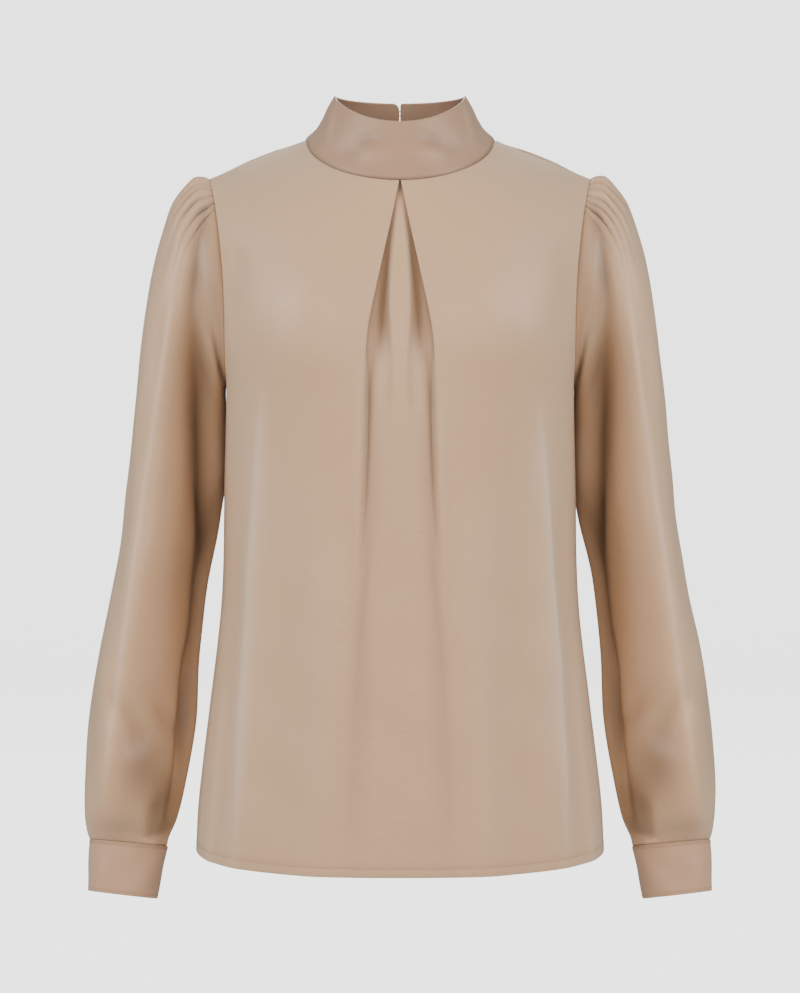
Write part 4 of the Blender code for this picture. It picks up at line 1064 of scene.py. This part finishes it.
def buildLoop(name, place):
    # Two strands twisted together, from the collar's other end, round the shank and back
    s, (origin, columns) = fastenerShape, place
    radius = s["shank"] + s["loop"] / 2 + 0.0003
    bend = [(radius * math.cos(a), radius * math.sin(a)) for a in np.radians(np.linspace(90.0, 270.0, 25))]
    start = [(x, radius) for x in np.linspace(s["reach"], 0.0, 24)[:-1]]
    close = [(x, -radius) for x in np.linspace(0.0, s["reach"], 24)[1:]]
    flat = np.array(start + bend + close)
    path = np.column_stack((flat, s["loop"] / 2 - flat[:, 0] ** 2 / (2 * s["collarRadius"])))
    path = path @ columns.T + origin
    length = lengthsAlong(path, 0)
    fine = np.linspace(0.0, length[-1], 190)
    path = np.stack([np.interp(fine, length, path[:, k]) for k in range(3)], axis=-1)
    tangents = unit(np.gradient(path, axis=0))
    up = unit(columns[:, 2] - tangents * (tangents @ columns[:, 2])[:, None])
    side = np.cross(tangents, up)
    strands = []
    for label, turn in ((name, 0.0), (name + "Strand", math.pi)):
        angle = fine / s["twist"] * 2.0 * math.pi + turn
        strand = path + (side * np.cos(angle)[:, None] + up * np.sin(angle)[:, None]) * s["apart"]
        grid = tubeGrid(strand, s["strand"], 8)
        strands.append(clothGrid(label, grid, threadFinish, np.repeat(path[:, None], 9, 1), thickness=0.0))
    made, other = strands
    work = bmesh.new()
    work.from_mesh(made.data)
    work.from_mesh(other.data)
    bmesh.ops.recalc_face_normals(work, faces=work.faces)
    work.to_mesh(made.data)
    work.free()
    bpy.data.objects.remove(other)
    return made


fasteners = {}
for label, share in fastenerShape["collarButtons"]:
    fasteners[f"collar_button_{label}"] = buildButton(f"collarButton{label.title()}", collarPlace(share))
    fasteners[f"collar_loop_{label}"] = buildLoop(f"collarLoop{label.title()}", collarPlace(share))
for label, hand in (("left", 1), ("right", -1)):
    fasteners[f"cuff_button_{label}"] = buildButton(f"cuffButton{label.title()}", cuffPlace(hand))
print("buttons and loops made")


# Stitches, laid along lines on the cloth
stitchShape = dict(length=0.0021, gap=0.0007, thread=0.00017, above=0.00032)


def buildStitchTree():
    tree = bpy.data.node_groups.new("stitchLine", "GeometryNodeTree")
    face, s = tree.interface, stitchShape
    face.new_socket("Line", in_out="INPUT", socket_type="NodeSocketGeometry")
    for label, value in (("Stitch length", s["length"]), ("Gap", s["gap"]), ("Thread radius", s["thread"])):
        face.new_socket(label, in_out="INPUT", socket_type="NodeSocketFloat").default_value = value
    face.new_socket("Thread", in_out="INPUT", socket_type="NodeSocketMaterial")
    face.new_socket("Stitches", in_out="OUTPUT", socket_type="NodeSocketGeometry")
    given, out = tree.nodes.new("NodeGroupInput").outputs, tree.nodes.new("NodeGroupOutput").inputs
    length, thread = given["Stitch length"], given["Thread radius"]
    spaced = tree.nodes.new("GeometryNodeResampleCurve")
    spaced.mode = "LENGTH"
    curve = node(tree, "GeometryNodeMeshToCurve", Mesh=given["Line"])
    put(tree, spaced.inputs["Curve"], curve.outputs["Curve"])
    put(tree, spaced.inputs["Length"], mathNode(tree, "ADD", length, given["Gap"]))
    start, end = (node(tree, "ShaderNodeCombineXYZ", X=mathNode(tree, "MULTIPLY", length, share)).outputs[0]
                  for share in (-0.5, 0.5))
    top = node(tree, "ShaderNodeCombineXYZ", Z=mathNode(tree, "MULTIPLY", thread, 2.2)).outputs[0]
    arch = node(tree, "GeometryNodeCurveQuadraticBezier", Resolution=5, Start=start, Middle=top, End=end)
    circle = node(tree, "GeometryNodeCurvePrimitiveCircle", Resolution=6, Radius=thread)
    tube = node(tree, "GeometryNodeCurveToMesh", Curve=arch.outputs["Curve"],
                Profile_Curve=circle.outputs["Curve"], Fill_Caps=True)
    outward = tree.nodes.new("GeometryNodeInputNamedAttribute")
    outward.data_type = "FLOAT_VECTOR"
    put(tree, outward.inputs["Name"], "outward")
    turn = tree.nodes.new("FunctionNodeAxesToRotation")
    turn.primary_axis, turn.secondary_axis = "Z", "X"
    put(tree, turn.inputs["Primary Axis"], outward.outputs["Attribute"])
    put(tree, turn.inputs["Secondary Axis"], tree.nodes.new("GeometryNodeInputTangent").outputs["Tangent"])
    laid = node(tree, "GeometryNodeInstanceOnPoints", Points=spaced.outputs["Curve"],
                Instance=tube.outputs["Mesh"], Rotation=turn.outputs["Rotation"])
    real = node(tree, "GeometryNodeRealizeInstances", Geometry=laid.outputs["Instances"])
    finish = node(tree, "GeometryNodeSetMaterial", Geometry=real.outputs["Geometry"],
                  Material=given["Thread"])
    put(tree, out["Stitches"], finish.outputs["Geometry"])
    return tree


stitchTree = buildStitchTree()


def buildStitches(name, lines):
    # "lines" are pairs of points on the cloth and their outward directions
    s = stitchShape
    points, directions, edges = [], [], []
    for path, outward in lines:
        first = len(points)
        points += (path + outward * s["above"]).tolist()
        directions += outward.tolist()
        edges += [(first + i, first + i + 1) for i in range(len(path) - 1)]
    mesh = bpy.data.meshes.new(name)
    mesh.from_pydata(points, edges, [])
    attribute = mesh.attributes.new("outward", "FLOAT_VECTOR", "POINT")
    attribute.data.foreach_set("vector", np.array(directions, np.float32).ravel())
    made = linked(name, mesh)
    maker = made.modifiers.new("stitches", "NODES")
    maker.node_group = stitchTree
    sizes = {"Stitch length": s["length"], "Gap": s["gap"], "Thread radius": s["thread"],
             "Thread": threadFinish}
    for item in stitchTree.interface.items_tree:
        if item.in_out == "INPUT" and item.name in sizes:
            maker[item.identifier] = sizes[item.name]
    bpy.context.view_layer.update()
    graph = bpy.context.evaluated_depsgraph_get()
    result = bpy.data.meshes.new_from_object(made.evaluated_get(graph))
    made.modifiers.clear()
    made.data = result
    result.shade_smooth()
    return made


def hemLine(grid, side):
    # The line on a panel at one distance from its hem, and its outward directions
    body, path = grid[:len(panelLevels())], []
    for column, distances in zip(body.swapaxes(0, 1), lengthsUp(body).T):
        order = np.argsort(distances)
        path.append([np.interp(bodyShape["hemDepth"], distances[order], column[order, k]) for k in range(3)])
    path = np.array(path)
    outward = unit(np.cross(unit(np.gradient(path, axis=0)), (0.0, 0.0, 1.0)))
    outward = np.where(outward[:, 1:2] * side > 0, outward, -outward)
    return path[3:-3], outward[3:-3]


def slitLines():
    # Either side of the back's slit, and the bar at its end
    s, levels, sides = bodyShape, np.linspace(0.004, 0.60, 150), []
    for hand in (1, -1):
        points = foldedPoint(np.full_like(levels, s["slitStitch"]), levels, 1, hand)[0] * (hand, 1, 1)
        sides.append(points[-points[:, 2] < s["neckBackDrop"] + s["slitLength"] + 0.004])
    bar = np.linspace(sides[0][-1], sides[1][-1], 12)
    return [(points, np.tile((0.0, 1.0, 0.0), (len(points), 1))) for points in (*sides, bar)]


def cuffLines(hand):
    s, lines = cuffShape, []
    turns = np.linspace(4.0, 356.0 + s["overlap"], 160)
    for share in (0.045, 0.955):
        path, core = (loweredCuffPoint(np.full_like(turns, share), turns, s["thickness"] / 2 - inside, hand)
                      for inside in (0.0, 0.001))
        lines.append((path, unit(path - core)))
    return lines


hemStitches = buildStitches("hemStitches", [hemLine(frontGrid, -1), hemLine(backGrid, 1)])
slitStitches = buildStitches("slitStitches", slitLines())
cuffStitchesLeft = buildStitches("cuffStitchesLeft", cuffLines(1))
cuffStitchesRight = buildStitches("cuffStitchesRight", cuffLines(-1))
print("stitches made", [len(o.data.polygons) for o in (hemStitches, slitStitches, cuffStitchesLeft)])


# Stage, lights and camera
stageShape = dict(
    floor=-0.95, front=-9.0, bend=4.2, radius=1.3, top=4.5, half=8.0, color=(0.450, 0.453, 0.443, 1.0),
    roughness=0.9, specular=0.1, glow=2.56, glowColor=(1.0, 1.0, 0.985, 1.0),
)


def buildStage():
    s = stageShape
    made = bpy.data.materials.new("paleFloor")
    made.use_nodes = True
    tree = made.node_tree
    seen = tree.nodes.new("ShaderNodeLightPath")  # the glow is for the camera alone
    glow = mathNode(tree, "MULTIPLY", seen.outputs["Is Camera Ray"], s["glow"])
    for label, value in (
        ("Base Color", s["color"]), ("Roughness", s["roughness"]), ("Specular IOR Level", s["specular"]),
        ("Emission Color", s["glowColor"]), ("Emission Strength", glow),
    ):
        put(tree, tree.nodes["Principled BSDF"].inputs[label], value)
    profile = [(s["front"], s["floor"]), (s["bend"], s["floor"])]
    for degrees in range(6, 91, 6):
        a = math.radians(degrees)
        profile.append((s["bend"] + s["radius"] * math.sin(a), s["floor"] + s["radius"] * (1 - math.cos(a))))
    profile.append((s["bend"] + s["radius"], s["top"]))
    mesh = bpy.data.meshes.new("paleFloor")
    points = [(x, y, z) for y, z in profile for x in (-s["half"], s["half"])]
    faces = [(2 * i, 2 * i + 1, 2 * i + 3, 2 * i + 2) for i in range(len(profile) - 1)]
    mesh.from_pydata(points, [], faces)
    newObject("paleFloor", mesh, made)


def aimed(name, data, place, aim):
    made = linked(name, data)
    made.location = place
    made.rotation_mode = "QUATERNION"
    made.rotation_quaternion = (Vector(aim) - Vector(place)).to_track_quat("-Z", "Y")
    return made


lightShape = dict(
    aim=(0.0, 0.0, -0.20), sky=2.70, fill=0.235,
    skyColor=(0.985, 1.0, 0.985, 1.0), fillColor=(0.76, 0.90, 1.0, 1.0),
    lamps=(("softLeft", (-2.9, -1.9, 1.3), 1.8, 124.0), ("softRight", (2.9, -1.9, 1.3), 1.8, 119.0),
           ("softFront", (0.0, -3.4, 0.9), 1.3, 41.0), ("softBack", (0.0, 2.6, 1.4), 1.6, 50.0)),
)


def buildLights():
    # The camera sees a bright sky, and the cloth gets a weak bluish fill from it
    s = lightShape
    world = bpy.data.worlds.new("studioAir")
    bpy.context.scene.world = world
    world.use_nodes = True
    tree = world.node_tree
    seen = tree.nodes.new("ShaderNodeLightPath").outputs["Is Camera Ray"]
    power = mathNode(tree, "MULTIPLY_ADD", seen, s["sky"] - s["fill"], s["fill"])
    put(tree, tree.nodes["Background"].inputs["Color"], mixedColor(tree, s["fillColor"], s["skyColor"], seen))
    put(tree, tree.nodes["Background"].inputs["Strength"], power)
    for name, place, size, energy in s["lamps"]:
        lamp = bpy.data.lights.new(name, "AREA")
        lamp.shape, lamp.size, lamp.energy = "SQUARE", size, energy
        aimed(name, lamp, place, s["aim"])


cameraShape = dict(
    place=(0.0, -2.6, -0.19), aim=(0.0, 0.0, -0.3196), lens=105.06, sensor=36.0, clip=(0.05, 50.0))


def buildCamera():
    s, camera = cameraShape, bpy.data.cameras.new("photoView")
    camera.sensor_width, camera.lens = s["sensor"], s["lens"]
    camera.clip_start, camera.clip_end = s["clip"]
    bpy.context.scene.camera = aimed("photoView", camera, s["place"], s["aim"])


buildStage()
buildLights()
buildCamera()
print("stage made")

# What each piece stands for and rides on
for piece, names, slotName in (
    (frontCloth, ("front",), "crepe"), (backCloth, ("back",), "crepe"),
    (sleeveLeft, ("sleeve_left",), "crepe"), (sleeveRight, ("sleeve_right",), "crepe"),
    (collarCloth, ("collar",), "crepe_doubled"),
    (cuffLeft, ("cuff_left",), "crepe_doubled"), (cuffRight, ("cuff_right",), "crepe_doubled"),
):
    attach(piece, "root")
    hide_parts(*names)
for nodeName, piece in fasteners.items():
    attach(piece, "root")
    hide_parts(nodeName)
for piece in (hemStitches, slitStitches, cuffStitchesLeft, cuffStitchesRight):
    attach(piece, "root")
